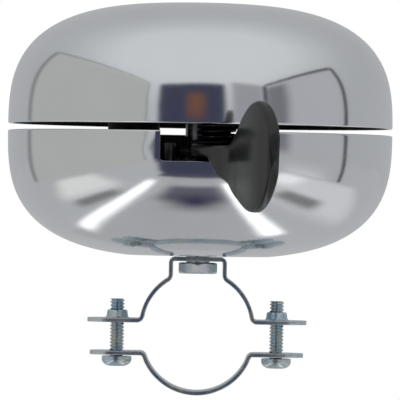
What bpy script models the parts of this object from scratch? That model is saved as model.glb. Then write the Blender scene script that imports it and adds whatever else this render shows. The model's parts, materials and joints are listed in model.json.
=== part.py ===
"""Two-tone bicycle bell with a thumb lever and a two-piece handlebar clamp.

Frame: metres, +Z up. The origin is the centre of the clamp's fixed saddle, so the handlebar
runs along Y through it. The bell's axis is Z and the thumb lever points towards -Y.
"""

from math import acos, atan2, ceil, cos, degrees, hypot, pi, radians, sin, sqrt, tau

import bmesh
import bpy
from mathutils import Matrix, Vector

MM = 0.001

# Gaps between pieces (mm)
REST_GAP = 0.3       # between faces that touch on the real bell
RUN_GAP = 0.2        # round a pin or a shank

# Domes: surfaces of revolution whose section is a superellipse
DOME_RADIUS = 40.0
DOME_HEIGHT = 26.5   # from the middle of the curve to the crown
DOME_POWER = 2.95
DOME_WALL = 1.0
GAP_Z = 40.9         # level from which both domes' curves are drawn
UPPER_RIM_Z = 41.83
RIM_GAP = 1.36
SEAT_Z = 14.9        # flat underside of the lower dome
DOME_STEPS = 48
DOME_RINGS = 10

# Lever slot in the lower dome's rim
SLOT_HALF_WIDTH = 8.0
SLOT_DEPTH = 6.25

# Post and the stack on it
POST_RADIUS = 3.05
POST_TOP_Z = 64.5
POST_END_RADIUS = 2.45
POST_END_Z = 11.4
BOSS_RADIUS = 5.0
BOSS_FLANGE_RADIUS = 7.5
BOSS_LENGTH = 12.0
BOSS_FLANGE = 1.5
WASHER_RADIUS = 8.0
WASHER_THICKNESS = 1.0
SPACER_RADIUS = 5.0
PLATE_THICKNESS = 1.0
PLATE_Z = 31.6       # underside of the mechanism plate
PLATE_NUT_FLATS = 10.0
PLATE_NUT_HEIGHT = 2.0
POST_NUT_FLATS = 8.0
POST_NUT_HEIGHT = 2.3

# Lever
LEVER_PIVOT = (3.4, -22.0)
LEVER_SWING = 15.0           # degrees, clockwise from above when pushed
ARM_Z = 35.3                 # underside of the arm and of both toothed sectors
ARM_THICKNESS = 2.2
ARM_WIDTH = 5.0
LEVER_HUB_RADIUS = 4.2
LEVER_BOSS_RADIUS = 2.9
LEVER_BOSS_TOP_Z = 42.5
NECK_START = (-0.1, -38.6)
NECK_END = (7.0, -47.0)
NECK_THICKNESS = 2.3
NECK_TIP_HEIGHT = 1.7
NECK_WIDE_HEIGHT = 8.6
NECK_SET_DOWN = 0.6          # the neck's wide end sits this much below the pad's middle
NECK_IN_ARM = 1.5            # how far the neck runs back into the arm
NECK_IN_PAD = 4.5            # how far it runs on into the pad
PAD_CENTER = (11.2, -56.4, 35.25)
PAD_WIDTH = 18.0
PAD_HEIGHT = 22.3
PAD_THICKNESS = 2.45
PAD_EDGE = 0.5               # chamfer round both faces of the pad
PAD_TURN = 23.5              # degrees between the pad's plane and the Y axis
PAD_LEAN = 2.7               # degrees that the pad's long axis leans

# Hammer carrier and hammers
CARRIER_PIVOT = (-13.8, -1.5)
CARRIER_HUB_RADIUS = 5.4
CARRIER_TOP_Z = 50.0
HAMMER_REACH = 24.0
HAMMER_RADIUS = 4.5
HAMMER_HEIGHT = 8.0
HAMMER_EDGE = 1.0
STRIKE_GAP = 0.5             # a head stops this far from its dome; the leaf flexes the rest
LOWER_HAMMER_Z = 35.2        # mid height of the lower head and its leaf
UPPER_HAMMER_Z = 47.5
LEAF_THICKNESS = 0.5
LEAF_WIDTH = 4.4
LUG_END = 10.5
LUG_THICKNESS = 2.4
RIVET_RADIUS = 0.6
RIVET_PLACES = (7.3, 9.3)

# Toothed sectors
LEVER_TEETH = 54             # on a full circle
CARRIER_TEETH = 36
TOOTH_TIP = 0.5
TOOTH_ROOT = 0.75
TOOTH_BACKLASH = 0.36

# Pins and clips
PIN_RADIUS = 1.5
PIN_HEAD_RADIUS = 2.6
PIN_HEAD = 1.0
GROOVE_RADIUS = 1.1
CLIP_OUTER_RADIUS = 3.0
CLIP_THICKNESS = 0.45
STOP_PIN_RADIUS = 1.2

# Lever return spring
COIL_RADIUS = 3.6
WIRE_RADIUS = 0.4
COIL_BOTTOM_Z = 38.3
COIL_PITCH = 1.15
COIL_TURNS = 3
SPRING_LEG = 7.0
PEG_RADIUS = 0.8

# Handlebar clamp
BAR_RADIUS = 11.18
STRAP_THICKNESS = 0.86
STRAP_WIDTH = 10.0
LAND_HALF_WIDTH = 5.6        # to the strap's mid surface
LAND_Z = 14.19
UPPER_EAR_Z = 1.3
UPPER_EAR_TIP = 22.8
LOWER_SADDLE_Z = -2.0
LOWER_EAR_Z = -5.5
LOWER_EAR_TIP = 22.2
EAR_CORNER = 4.1
SCREW_X = 16.6
SCREW_RADIUS = 1.5
SCREW_TIP_Z = 5.7
SCREW_HEAD_RADIUS = 3.1
SCREW_HEAD_HEIGHT = 2.1
COLLAR_HEIGHT = 1.7
COLLAR_BASE_RADIUS = 2.35
COLLAR_TOP_RADIUS = 2.1

SADDLE_RADIUS = BAR_RADIUS + STRAP_THICKNESS / 2
LOWER_RIM_Z = UPPER_RIM_Z - RIM_GAP
PLATE_TOP_Z = PLATE_Z + PLATE_THICKNESS

parts = None
cutters = None


# Scene and materials

def clear_scene():
    for obj in list(bpy.data.objects):
        bpy.data.objects.remove(obj, do_unlink=True)


def new_collection(name):
    collection = bpy.data.collections.new(name)
    bpy.context.scene.collection.children.link(collection)
    return collection


def material(name, color, roughness, metallic):
    made = bpy.data.materials.new(name)
    made.use_nodes = True
    shader = made.node_tree.nodes["Principled BSDF"]
    shader.inputs["Base Color"].default_value = (*color, 1.0)
    shader.inputs["Roughness"].default_value = roughness
    shader.inputs["Metallic"].default_value = metallic
    made.diffuse_color = (*color, 1.0)
    return made


def add_object(name, data, finish):
    obj = bpy.data.objects.new(name, data)
    data.materials.append(finish)
    parts.objects.link(obj)
    return obj


def make_cutter(obj):
    for collection in list(obj.users_collection):
        collection.objects.unlink(obj)
    cutters.objects.link(obj)
    obj.hide_render = True
    obj.display_type = "WIRE"
    return obj


# Shape helpers. Sizes are in mm and become metres here.

def polar(center, radius, angle):
    return (center[0] + radius * cos(radians(angle)), center[1] + radius * sin(radians(angle)))


def arc(radius, start, end, count, center=(0.0, 0.0)):
    """Points on an arc, angles in degrees, both ends included."""
    step = (end - start) / count
    return [polar(center, radius, start + step * index) for index in range(count + 1)]


def circle(radius, count, center=(0.0, 0.0)):
    return arc(radius, 0.0, 360.0, count, center)[:-1]


def smooth(obj, angle=40.0):
    obj.data.shade_smooth()
    obj.data.set_sharp_from_angle(angle=radians(angle))
    return obj


def turned(name, profile, finish, steps, at=(0.0, 0.0), closed=True):
    """A Screw of the (radius, z) profile round the vertical axis through at."""
    mesh = bpy.data.meshes.new(name)
    points = [(radius * MM, 0.0, z * MM) for radius, z in profile]
    edges = [(index, index + 1) for index in range(len(points) - 1)]
    if closed:
        edges.append((len(points) - 1, 0))
    mesh.from_pydata(points, edges, [])
    obj = add_object(name, mesh, finish)
    obj.location = (at[0] * MM, at[1] * MM, 0.0)
    screw = obj.modifiers.new("Screw", "SCREW")
    screw.steps = steps
    screw.render_steps = steps
    screw.use_merge_vertices = True
    screw.merge_threshold = 0.000001
    screw.use_smooth_shade = True
    return obj


def ring(name, inner, outer, low, high, finish, steps, at=(0.0, 0.0)):
    profile = [(outer, high), (outer, low), (inner, low), (inner, high)]
    return turned(name, profile, finish, steps, at)


def to_mesh(obj):
    """Turns a curve or a modified mesh into a plain mesh with welded caps."""
    graph = bpy.context.evaluated_depsgraph_get()
    name, finish = obj.name, obj.data.materials[0]
    mesh = bpy.data.meshes.new_from_object(obj.evaluated_get(graph))
    work = bmesh.new()
    work.from_mesh(mesh)
    bmesh.ops.remove_doubles(work, verts=work.verts, dist=0.000001)
    work.to_mesh(mesh)
    work.free()
    matrix = obj.matrix_world.copy()
    bpy.data.objects.remove(obj, do_unlink=True)
    mesh.materials.clear()
    made = add_object(name, mesh, finish)
    made.matrix_world = matrix
    return made


def flat(name, outlines, low, high, finish):
    """A flat piece from closed outlines in the XY plane; inner outlines are holes."""
    curve = bpy.data.curves.new(name, "CURVE")
    curve.dimensions = "2D"
    curve.fill_mode = "BOTH"
    curve.extrude = (high - low) / 2 * MM
    for outline in outlines:
        spline = curve.splines.new("POLY")
        spline.points.add(len(outline) - 1)
        for point, (x, y) in zip(spline.points, outline):
            point.co = (x * MM, y * MM, 0.0, 1.0)
        spline.use_cyclic_u = True
    obj = add_object(name, curve, finish)
    obj.location = (0.0, 0.0, (low + high) / 2 * MM)
    bpy.context.view_layer.update()
    return obj


def box(name, size, center, finish, turn=0.0):
    """A box of the given mm size, turned about Z by degrees, then centred."""
    mesh = bpy.data.meshes.new(name)
    work = bmesh.new()
    bmesh.ops.create_cube(work, size=1.0)
    bmesh.ops.scale(work, verts=work.verts, vec=Vector(size) * MM)
    work.to_mesh(mesh)
    work.free()
    obj = add_object(name, mesh, finish)
    obj.rotation_euler = (0.0, 0.0, radians(turn))
    obj.location = Vector(center) * MM
    return obj


def rod(name, radius, start, end, finish, sides=16):
    """A cylinder between two points in mm."""
    axis = Vector(end) - Vector(start)
    mesh = bpy.data.meshes.new(name)
    work = bmesh.new()
    bmesh.ops.create_cone(work, cap_ends=True, segments=sides, radius1=radius * MM,
                          radius2=radius * MM, depth=axis.length * MM)
    work.to_mesh(mesh)
    work.free()
    obj = add_object(name, mesh, finish)
    obj.rotation_mode = "QUATERNION"
    obj.rotation_quaternion = Vector((0, 0, 1)).rotation_difference(axis)
    obj.location = (Vector(start) + Vector(end)) / 2 * MM
    return obj


def boolean(obj, other, operation):
    """Applies one Boolean and removes or keeps the other object as a cutter."""
    modifier = obj.modifiers.new(operation, "BOOLEAN")
    modifier.operation = operation
    modifier.solver = "EXACT"
    modifier.object = other
    bpy.context.view_layer.update()
    made = to_mesh(obj)
    if operation == "UNION":
        bpy.data.objects.remove(other, do_unlink=True)
    else:
        make_cutter(other)
    return made


def cut(obj, other):
    return boolean(obj, other, "DIFFERENCE")


def join(obj, other):
    return boolean(obj, other, "UNION")


def move_origin(obj, point):
    """Puts the object's origin at a point in mm and leaves the shape where it is."""
    target = Vector(point) * MM
    obj.data.transform(Matrix.Translation(-target) @ obj.matrix_world)
    obj.matrix_world = Matrix.Translation(target)
    return obj


def hexagon(flats, turn=0.0):
    return [(x, y) for x, y in arc(flats / sqrt(3), turn, turn + 300.0, 5)]


# Domes and post

def dome_radius(height, inset=0.0):
    """Radius of the dome's section at a height from the middle of the gap."""
    share = min(abs(height) / (DOME_HEIGHT - inset), 1.0)
    return (DOME_RADIUS - inset) * (1 - share ** DOME_POWER) ** (1 / DOME_POWER)


def dome_curve(start, end, inset):
    """(radius, height) points of the section, evenly spread by angle, from start to end height."""
    tall, wide = DOME_HEIGHT - inset, DOME_RADIUS - inset

    def angle_of(height):
        return atan2(height / tall, dome_radius(height, inset) / wide)

    first, last = angle_of(start), angle_of(end)
    points = []
    for index in range(DOME_RINGS + 1):
        angle = first + (last - first) * index / DOME_RINGS
        scale = (abs(cos(angle)) ** DOME_POWER + abs(sin(angle)) ** DOME_POWER) ** (-1 / DOME_POWER)
        points.append((wide * cos(angle) * scale, tall * sin(angle) * scale))
    return points


def upper_dome(chrome):
    rim = UPPER_RIM_Z - GAP_Z
    outer = dome_curve(DOME_HEIGHT, rim, 0.0)
    inner = dome_curve(rim, DOME_HEIGHT - DOME_WALL, DOME_WALL)
    outer[0] = (0.0, DOME_HEIGHT)
    inner[-1] = (0.0, DOME_HEIGHT - DOME_WALL)
    profile = [(radius, GAP_Z + height) for radius, height in outer + inner]
    return turned("upper_dome", profile, chrome, DOME_STEPS, closed=False)


def lower_dome(chrome):
    rim, floor = GAP_Z - LOWER_RIM_Z, GAP_Z - SEAT_Z
    hole = POST_RADIUS + RUN_GAP
    outer = dome_curve(rim, floor, 0.0)
    inner = dome_curve(floor - DOME_WALL, rim, DOME_WALL)
    section = outer + [(hole, floor), (hole, floor - DOME_WALL)] + inner
    profile = [(radius, GAP_Z - height) for radius, height in section]
    obj = to_mesh(turned("lower_dome", profile, chrome, DOME_STEPS))
    size = (2 * SLOT_HALF_WIDTH, 16.0, 2 * SLOT_DEPTH)
    slot = box("slot_cutter", size, (0.0, -DOME_RADIUS, LOWER_RIM_Z), chrome)
    return smooth(cut(obj, slot))


def upper_dome_boss(steel):
    top = GAP_Z + DOME_HEIGHT - DOME_WALL - 0.4
    bore = POST_RADIUS + RUN_GAP
    profile = [
        (0.0, top),
        (BOSS_FLANGE_RADIUS, top),
        (BOSS_FLANGE_RADIUS, top - BOSS_FLANGE),
        (BOSS_RADIUS, top - BOSS_FLANGE),
        (BOSS_RADIUS, top - BOSS_LENGTH),
        (bore, top - BOSS_LENGTH),
        (bore, POST_TOP_Z + REST_GAP),
        (0.0, POST_TOP_Z + REST_GAP),
    ]
    return turned("upper_dome_boss", profile, steel, 24, closed=False)


def center_post(zinc):
    edge = 0.5
    profile = [
        (0.0, POST_TOP_Z),
        (POST_RADIUS - edge, POST_TOP_Z),
        (POST_RADIUS, POST_TOP_Z - edge),
        (POST_RADIUS, SEAT_Z),
        (POST_END_RADIUS, SEAT_Z),
        (POST_END_RADIUS, POST_END_Z + edge),
        (POST_END_RADIUS - edge, POST_END_Z),
        (0.0, POST_END_Z),
    ]
    return turned("center_post", profile, zinc, 24, closed=False)


def post_stack(zinc, steel):
    """The seat washer, the spacer and both nuts."""
    hole = POST_RADIUS + RUN_GAP
    washer_z = SEAT_Z + DOME_WALL + REST_GAP
    spacer_z = washer_z + WASHER_THICKNESS + REST_GAP
    ring("seat_washer", hole, WASHER_RADIUS, washer_z, washer_z + WASHER_THICKNESS, steel, 32)
    ring("plate_spacer", hole, SPACER_RADIUS, spacer_z, PLATE_Z - REST_GAP, steel, 24)
    nut_z = PLATE_TOP_Z + REST_GAP
    flat("plate_nut", [hexagon(PLATE_NUT_FLATS), circle(hole, 24)],
         nut_z, nut_z + PLATE_NUT_HEIGHT, zinc)
    nut_top = LAND_Z - STRAP_THICKNESS / 2 - REST_GAP
    flat("post_nut", [hexagon(POST_NUT_FLATS, 30.0), circle(POST_END_RADIUS + RUN_GAP, 24)],
         nut_top - POST_NUT_HEIGHT, nut_top, zinc)


# Mechanism plate with its pins

def hull_outline(discs, count=10):
    """Outline round discs ((x, y), radius) listed counter-clockwise."""
    outline = []
    for index, (center, radius) in enumerate(discs):
        before, reach_before = discs[index - 1]
        after, reach_after = discs[(index + 1) % len(discs)]

        def tangent(one, one_radius, two, two_radius):
            dx, dy = two[0] - one[0], two[1] - one[1]
            lean = acos((one_radius - two_radius) / hypot(dx, dy))
            return degrees(atan2(dy, dx) - lean)

        start = tangent(before, reach_before, center, radius)
        end = tangent(center, radius, after, reach_after)
        while end < start:
            end += 360.0
        outline += arc(radius, start, end, count, center)
    return outline


def stop_pin_place():
    """Beside the sector's trailing edge, a rest gap away from it."""
    reach = 10.0
    edge = sector_edges(LEVER_TEETH, lever_tooth_numbers(), lever_mesh_angle())[1]
    away = degrees((STOP_PIN_RADIUS + REST_GAP) / reach)
    return polar(LEVER_PIVOT, reach, edge + away)


def anchor_pin_place():
    """Outside the spring's top leg, on the side away from the coil."""
    off_leg = COIL_RADIUS + WIRE_RADIUS + REST_GAP + STOP_PIN_RADIUS
    return (LEVER_PIVOT[0] + SPRING_LEG - 1.0, LEVER_PIVOT[1] - off_leg)


def mechanism_plate(steel):
    discs = [(CARRIER_PIVOT, 7.5), (LEVER_PIVOT, 10.5), ((12.0, 6.0), 5.0)]
    holes = [
        circle(POST_RADIUS + RUN_GAP, 24),
        circle(PIN_RADIUS + RUN_GAP, 20, LEVER_PIVOT),
        circle(PIN_RADIUS + RUN_GAP, 20, CARRIER_PIVOT),
        circle(STOP_PIN_RADIUS - 0.2 + RUN_GAP, 16, stop_pin_place()),
        circle(STOP_PIN_RADIUS - 0.2 + RUN_GAP, 16, anchor_pin_place()),
    ]
    flat("mechanism_plate", [hull_outline(discs)] + holes, PLATE_Z, PLATE_TOP_Z, steel)


def pivot_pin(name, at, rests_under, top, steel):
    """Headed pin from below the plate, with a clip groove above what turns on it."""
    head_top = PLATE_Z - REST_GAP
    groove_low = rests_under + REST_GAP
    groove_high = groove_low + CLIP_THICKNESS + REST_GAP
    profile = [
        (0.0, top),
        (PIN_RADIUS, top),
        (PIN_RADIUS, groove_high),
        (GROOVE_RADIUS, groove_high),
        (GROOVE_RADIUS, groove_low),
        (PIN_RADIUS, groove_low),
        (PIN_RADIUS, head_top),
        (PIN_HEAD_RADIUS, head_top),
        (PIN_HEAD_RADIUS, head_top - PIN_HEAD),
        (0.0, head_top - PIN_HEAD),
    ]
    return turned(name, profile, steel, 20, at, closed=False)


def clip(name, at, rests_under, steel, turn):
    """C-shaped clip that sits in the groove."""
    low = rests_under + REST_GAP + 0.15
    inner = GROOVE_RADIUS + RUN_GAP
    opening = 40.0
    outline = arc(CLIP_OUTER_RADIUS, turn + opening, turn + 360 - opening, 20, at)
    outline += arc(inner, turn + 360 - opening, turn + opening, 16, at)
    return flat(name, [outline], low, low + CLIP_THICKNESS, steel)


def shoulder_pin(name, at, top, steel):
    """Pin riveted into the plate: thin shank through it, wider body above."""
    thin = STOP_PIN_RADIUS - 0.2
    profile = [
        (0.0, top),
        (STOP_PIN_RADIUS, top),
        (STOP_PIN_RADIUS, PLATE_TOP_Z + REST_GAP),
        (thin, PLATE_TOP_Z + REST_GAP),
        (thin, PLATE_Z - 0.4),
        (0.0, PLATE_Z - 0.4),
    ]
    return turned(name, profile, steel, 16, at, closed=False)


# Toothed sectors

def pivot_distance():
    return hypot(CARRIER_PIVOT[0] - LEVER_PIVOT[0], CARRIER_PIVOT[1] - LEVER_PIVOT[1])


def lever_mesh_angle():
    return degrees(atan2(CARRIER_PIVOT[1] - LEVER_PIVOT[1], CARRIER_PIVOT[0] - LEVER_PIVOT[0]))


def pitch_radius(teeth):
    return pivot_distance() * teeth / (LEVER_TEETH + CARRIER_TEETH)


def lever_tooth_numbers():
    """Tooth places in pitches, counted counter-clockwise from the mesh line."""
    swing_pitches = ceil(LEVER_SWING / (360.0 / LEVER_TEETH))
    return [float(number) for number in range(-1, swing_pitches + 1)]


def carrier_tooth_numbers():
    """Half a pitch off, so a space faces the lever's tooth at rest."""
    swing_pitches = ceil(carrier_swing() / (360.0 / CARRIER_TEETH))
    return [0.5 - number for number in range(swing_pitches + 2)][::-1]


def carrier_swing():
    return LEVER_SWING * LEVER_TEETH / CARRIER_TEETH


def sector_edges(teeth, numbers, mesh_angle):
    pitch = 360.0 / teeth
    return (mesh_angle + (numbers[0] - 0.5) * pitch, mesh_angle + (numbers[-1] + 0.5) * pitch)


def sector_outline(center, teeth, numbers, mesh_angle):
    """Toothed edge of a sector, counter-clockwise, without its sides."""
    radius = pitch_radius(teeth)
    pitch = 360.0 / teeth
    tooth = tau * radius / teeth / 2 - TOOTH_BACKLASH / 2
    slope = 0.45
    low, high = radius - TOOTH_ROOT, radius + TOOTH_TIP
    root_half = degrees((tooth / 2 + TOOTH_ROOT * slope) / radius)
    tip_half = degrees((tooth / 2 - TOOTH_TIP * slope) / radius)
    start, end = sector_edges(teeth, numbers, mesh_angle)
    outline = [polar(center, low, start)]
    for number in numbers:
        middle = mesh_angle + number * pitch
        outline += [
            polar(center, low, middle - root_half),
            polar(center, high, middle - tip_half),
            polar(center, high, middle + tip_half),
            polar(center, low, middle + root_half),
        ]
    outline.append(polar(center, low, end))
    return outline


def hub_arc(center, radius, start, end):
    while end < start:
        end += 360.0
    return arc(radius, start, end, max(2, ceil((end - start) / 20.0)), center)


# Lever

def arm_outline():
    """Hub, toothed sector and arm of the lever in plan, counter-clockwise."""
    mesh_angle = lever_mesh_angle()
    numbers = lever_tooth_numbers()
    start, end = sector_edges(LEVER_TEETH, numbers, mesh_angle)
    along = Vector(NECK_START) - Vector(LEVER_PIVOT)
    direction = degrees(atan2(along.y, along.x))
    side = Vector((-along.y, along.x)).normalized() * ARM_WIDTH / 2
    hug = degrees(ARM_WIDTH / 2 / LEVER_HUB_RADIUS)
    tip = Vector(LEVER_PIVOT) + along * 1.02
    outline = sector_outline(LEVER_PIVOT, LEVER_TEETH, numbers, mesh_angle)
    outline += hub_arc(LEVER_PIVOT, LEVER_HUB_RADIUS, end + 4.0, direction + 360.0 - hug)
    outline += [tuple(tip - side * 0.62), tuple(tip + side * 0.62)]
    outline += hub_arc(LEVER_PIVOT, LEVER_HUB_RADIUS, direction + hug, start - 4.0)
    return outline


def neck(plastic):
    """Upright fan between the arm and the pad."""
    run = hypot(NECK_END[0] - NECK_START[0], NECK_END[1] - NECK_START[1])
    top = ARM_Z + ARM_THICKNESS
    wide_top = PAD_CENTER[2] + NECK_WIDE_HEIGHT / 2 - NECK_SET_DOWN
    low = top - NECK_TIP_HEIGHT
    wide_low = wide_top - NECK_WIDE_HEIGHT
    start, end = -NECK_IN_ARM, run + NECK_IN_PAD
    outline = [(start, low), (1.2, low), (run * 0.82, wide_low), (end, wide_low),
               (end, wide_top), (run, wide_top - 0.6), (run * 0.8, top), (start, top)]
    fan = to_mesh(flat("neck", [outline], -NECK_THICKNESS / 2, NECK_THICKNESS / 2, plastic))
    direction = atan2(NECK_END[1] - NECK_START[1], NECK_END[0] - NECK_START[0])
    stand = Matrix.Rotation(direction, 4, "Z") @ Matrix.Rotation(pi / 2, 4, "X")
    place = Matrix.Translation((NECK_START[0] * MM, NECK_START[1] * MM, 0.0))
    fan.data.transform(place @ stand)
    fan.matrix_world = Matrix.Identity(4)
    return fan


def pad(plastic):
    """Oval thumb pad, upright, with a rounded rim."""
    half = PAD_THICKNESS / 2
    blank = PAD_WIDTH / 2        # a round disc, stretched to the pad's height afterwards
    profile = [(0.0, half), (blank - PAD_EDGE, half), (blank, half - PAD_EDGE),
               (blank, PAD_EDGE - half), (blank - PAD_EDGE, -half), (0.0, -half)]
    mesh = to_mesh(turned("pad", profile, plastic, 36, closed=False))
    shape = Matrix.Diagonal((1.0, PAD_HEIGHT / PAD_WIDTH, 1.0, 1.0))
    upright = Matrix.Rotation(radians(PAD_TURN - 90.0), 4, "Z") @ Matrix.Rotation(pi / 2, 4, "X")
    lean = Matrix.Rotation(radians(PAD_LEAN), 4, "Z")
    mesh.data.transform(Matrix.Translation(Vector(PAD_CENTER) * MM) @ upright @ lean @ shape)
    mesh.matrix_world = Matrix.Identity(4)
    return mesh


def thumb_lever(plastic):
    bore = PIN_RADIUS + RUN_GAP
    obj = to_mesh(flat("thumb_lever", [arm_outline()], ARM_Z, ARM_Z + ARM_THICKNESS, plastic))
    hub_profile = [
        (LEVER_BOSS_RADIUS, LEVER_BOSS_TOP_Z),
        (LEVER_BOSS_RADIUS, ARM_Z + 1.0),
        (LEVER_HUB_RADIUS - 0.1, ARM_Z + 1.0),
        (LEVER_HUB_RADIUS - 0.1, PLATE_TOP_Z + REST_GAP),
        (bore - 0.5, PLATE_TOP_Z + REST_GAP),
        (bore - 0.5, LEVER_BOSS_TOP_Z),
    ]
    obj = join(obj, to_mesh(turned("hub", hub_profile, plastic, 24, LEVER_PIVOT)))
    peg_x, peg_y = spring_peg_place()
    ear = hull_outline([(LEVER_PIVOT, LEVER_HUB_RADIUS - 0.4), ((peg_x, peg_y), 2 * PEG_RADIUS)])
    ear_top = ARM_Z + ARM_THICKNESS - 0.3
    obj = join(obj, to_mesh(flat("ear", [ear], ARM_Z + 0.2, ear_top, plastic)))
    peg_top = COIL_BOTTOM_Z + WIRE_RADIUS + 0.7
    obj = join(obj, rod("peg", PEG_RADIUS, (peg_x, peg_y, ARM_Z + 1.0), (peg_x, peg_y, peg_top),
                        plastic, 12))
    obj = join(obj, neck(plastic))
    obj = join(obj, pad(plastic))
    x, y = LEVER_PIVOT
    obj = cut(obj, rod("lever_bore", bore, (x, y, 30.0), (x, y, 50.0), plastic, 24))
    return smooth(move_origin(obj, (x, y, ARM_Z)))


# Return spring

def spring_peg_place():
    """Outside the spring's low leg, which it pushes when the lever swings."""
    off_leg = COIL_RADIUS + WIRE_RADIUS + REST_GAP + PEG_RADIUS
    return (LEVER_PIVOT[0] - SPRING_LEG + 1.0, LEVER_PIVOT[1] - off_leg)


def lever_return_spring(wire):
    """Torsion coil: its low leg bears on the lever's peg, its top leg on the anchor pin."""
    steps = 16
    total = COIL_TURNS * steps
    x, y = LEVER_PIVOT
    points = [(x - SPRING_LEG, y - COIL_RADIUS, COIL_BOTTOM_Z)]
    for index in range(total + 1):
        angle = -pi / 2 + tau * index / steps
        z = COIL_BOTTOM_Z + COIL_PITCH * index / steps
        points.append((x + COIL_RADIUS * cos(angle), y + COIL_RADIUS * sin(angle), z))
    last_z = COIL_BOTTOM_Z + COIL_PITCH * COIL_TURNS
    points.append((x + SPRING_LEG, y - COIL_RADIUS, last_z))
    curve = bpy.data.curves.new("lever_return_spring", "CURVE")
    curve.dimensions = "3D"
    curve.bevel_depth = WIRE_RADIUS * MM
    curve.bevel_resolution = 2
    curve.use_fill_caps = True
    spline = curve.splines.new("POLY")
    spline.points.add(len(points) - 1)
    for point, place in zip(spline.points, points):
        point.co = (*(Vector(place) * MM), 1.0)
    return add_object("lever_return_spring", curve, wire)


# Hammer carrier

def inner_radius(z_middle):
    """Tightest inner radius of a dome over a hammer's height."""
    far = abs(z_middle - GAP_Z) + HAMMER_HEIGHT / 2 - HAMMER_EDGE
    return dome_radius(far, DOME_WALL) - 0.1


def strike_angle(z_middle):
    """Angle between the carrier's offset and the arm when the head is at its dome."""
    offset = hypot(*CARRIER_PIVOT)
    reach = inner_radius(z_middle) - HAMMER_RADIUS - STRIKE_GAP
    return degrees(acos((reach ** 2 - offset ** 2 - HAMMER_REACH ** 2)
                        / (2 * offset * HAMMER_REACH)))


def offset_angle():
    return degrees(atan2(CARRIER_PIVOT[1], CARRIER_PIVOT[0]))


def lower_arm_angle():
    return offset_angle() + strike_angle(LOWER_HAMMER_Z)


def upper_arm_angle():
    return offset_angle() - strike_angle(UPPER_HAMMER_Z) - carrier_swing()


def hammer_arms():
    """Name, direction, height and lug side of both arms."""
    return (
        ("lower", lower_arm_angle(), LOWER_HAMMER_Z, -1),
        ("upper", upper_arm_angle(), UPPER_HAMMER_Z, 1),
    )


def on_arm(angle, along, across, z):
    """A point given along and across an arm that starts at the carrier's pivot."""
    direction = Vector((cos(radians(angle)), sin(radians(angle))))
    side = Vector((-direction.y, direction.x))
    place = Vector(CARRIER_PIVOT) + direction * along + side * across
    return (place.x, place.y, z)


def lug(name, angle, z, side, plastic):
    """Block on the hub beside the leaf: side 1 is counter-clockwise of it, -1 clockwise."""
    across = side * (LEAF_THICKNESS / 2 + REST_GAP + LUG_THICKNESS / 2)
    start = CARRIER_HUB_RADIUS - 2.5
    center = on_arm(angle, (start + LUG_END) / 2, across, z)
    return box(name, (LUG_END - start, LUG_THICKNESS, LEAF_WIDTH), center, plastic, angle)


def hammer_carrier(plastic):
    mesh_angle = lever_mesh_angle() + 180.0
    numbers = carrier_tooth_numbers()
    start, end = sector_edges(CARRIER_TEETH, numbers, mesh_angle)
    outline = sector_outline(CARRIER_PIVOT, CARRIER_TEETH, numbers, mesh_angle)
    outline += hub_arc(CARRIER_PIVOT, CARRIER_HUB_RADIUS - 0.4, end + 5.0, start + 355.0)
    obj = to_mesh(flat("hammer_carrier", [outline], ARM_Z, ARM_Z + ARM_THICKNESS, plastic))
    bore = PIN_RADIUS + RUN_GAP
    hub = ring("carrier_hub", bore - 0.5, CARRIER_HUB_RADIUS, PLATE_TOP_Z + REST_GAP,
               CARRIER_TOP_Z, plastic, 24, CARRIER_PIVOT)
    obj = join(obj, to_mesh(hub))
    for name, angle, z, side in hammer_arms():
        obj = join(obj, lug(name + "_lug", angle, z, side, plastic))
    x, y = CARRIER_PIVOT
    obj = cut(obj, rod("carrier_bore", bore, (x, y, 30.0), (x, y, 55.0), plastic, 24))
    for name, angle, z, side in hammer_arms():
        for place in RIVET_PLACES:
            hole = rod(f"{name}_lug_hole_{place}", RIVET_RADIUS + RUN_GAP,
                       on_arm(angle, place, side * 0.4, z), on_arm(angle, place, side * 4.0, z),
                       plastic, 12)
            obj = cut(obj, hole)
    return smooth(move_origin(obj, (x, y, ARM_Z)))


def leaf_spring(name, angle, z, wire):
    """Upright strip with two rivet holes at the hub and one pin hole in the head."""
    start = CARRIER_HUB_RADIUS + REST_GAP
    end = HAMMER_REACH + 2.0
    half = LEAF_WIDTH / 2
    outline = [(start, -half), (end, -half), (end, half), (start, half)]
    holes = [circle(RIVET_RADIUS + RUN_GAP, 12, (place, 0.0)) for place in RIVET_PLACES]
    holes.append(circle(RIVET_RADIUS + RUN_GAP, 12, (HAMMER_REACH, 0.0)))
    obj = to_mesh(flat(name, [outline] + holes, -LEAF_THICKNESS / 2, LEAF_THICKNESS / 2, wire))
    stand = Matrix.Rotation(radians(angle), 4, "Z") @ Matrix.Rotation(pi / 2, 4, "X")
    pivot = Vector((*CARRIER_PIVOT, z)) * MM
    obj.data.transform(stand)
    obj.matrix_world = Matrix.Translation(pivot)
    return obj


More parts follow.
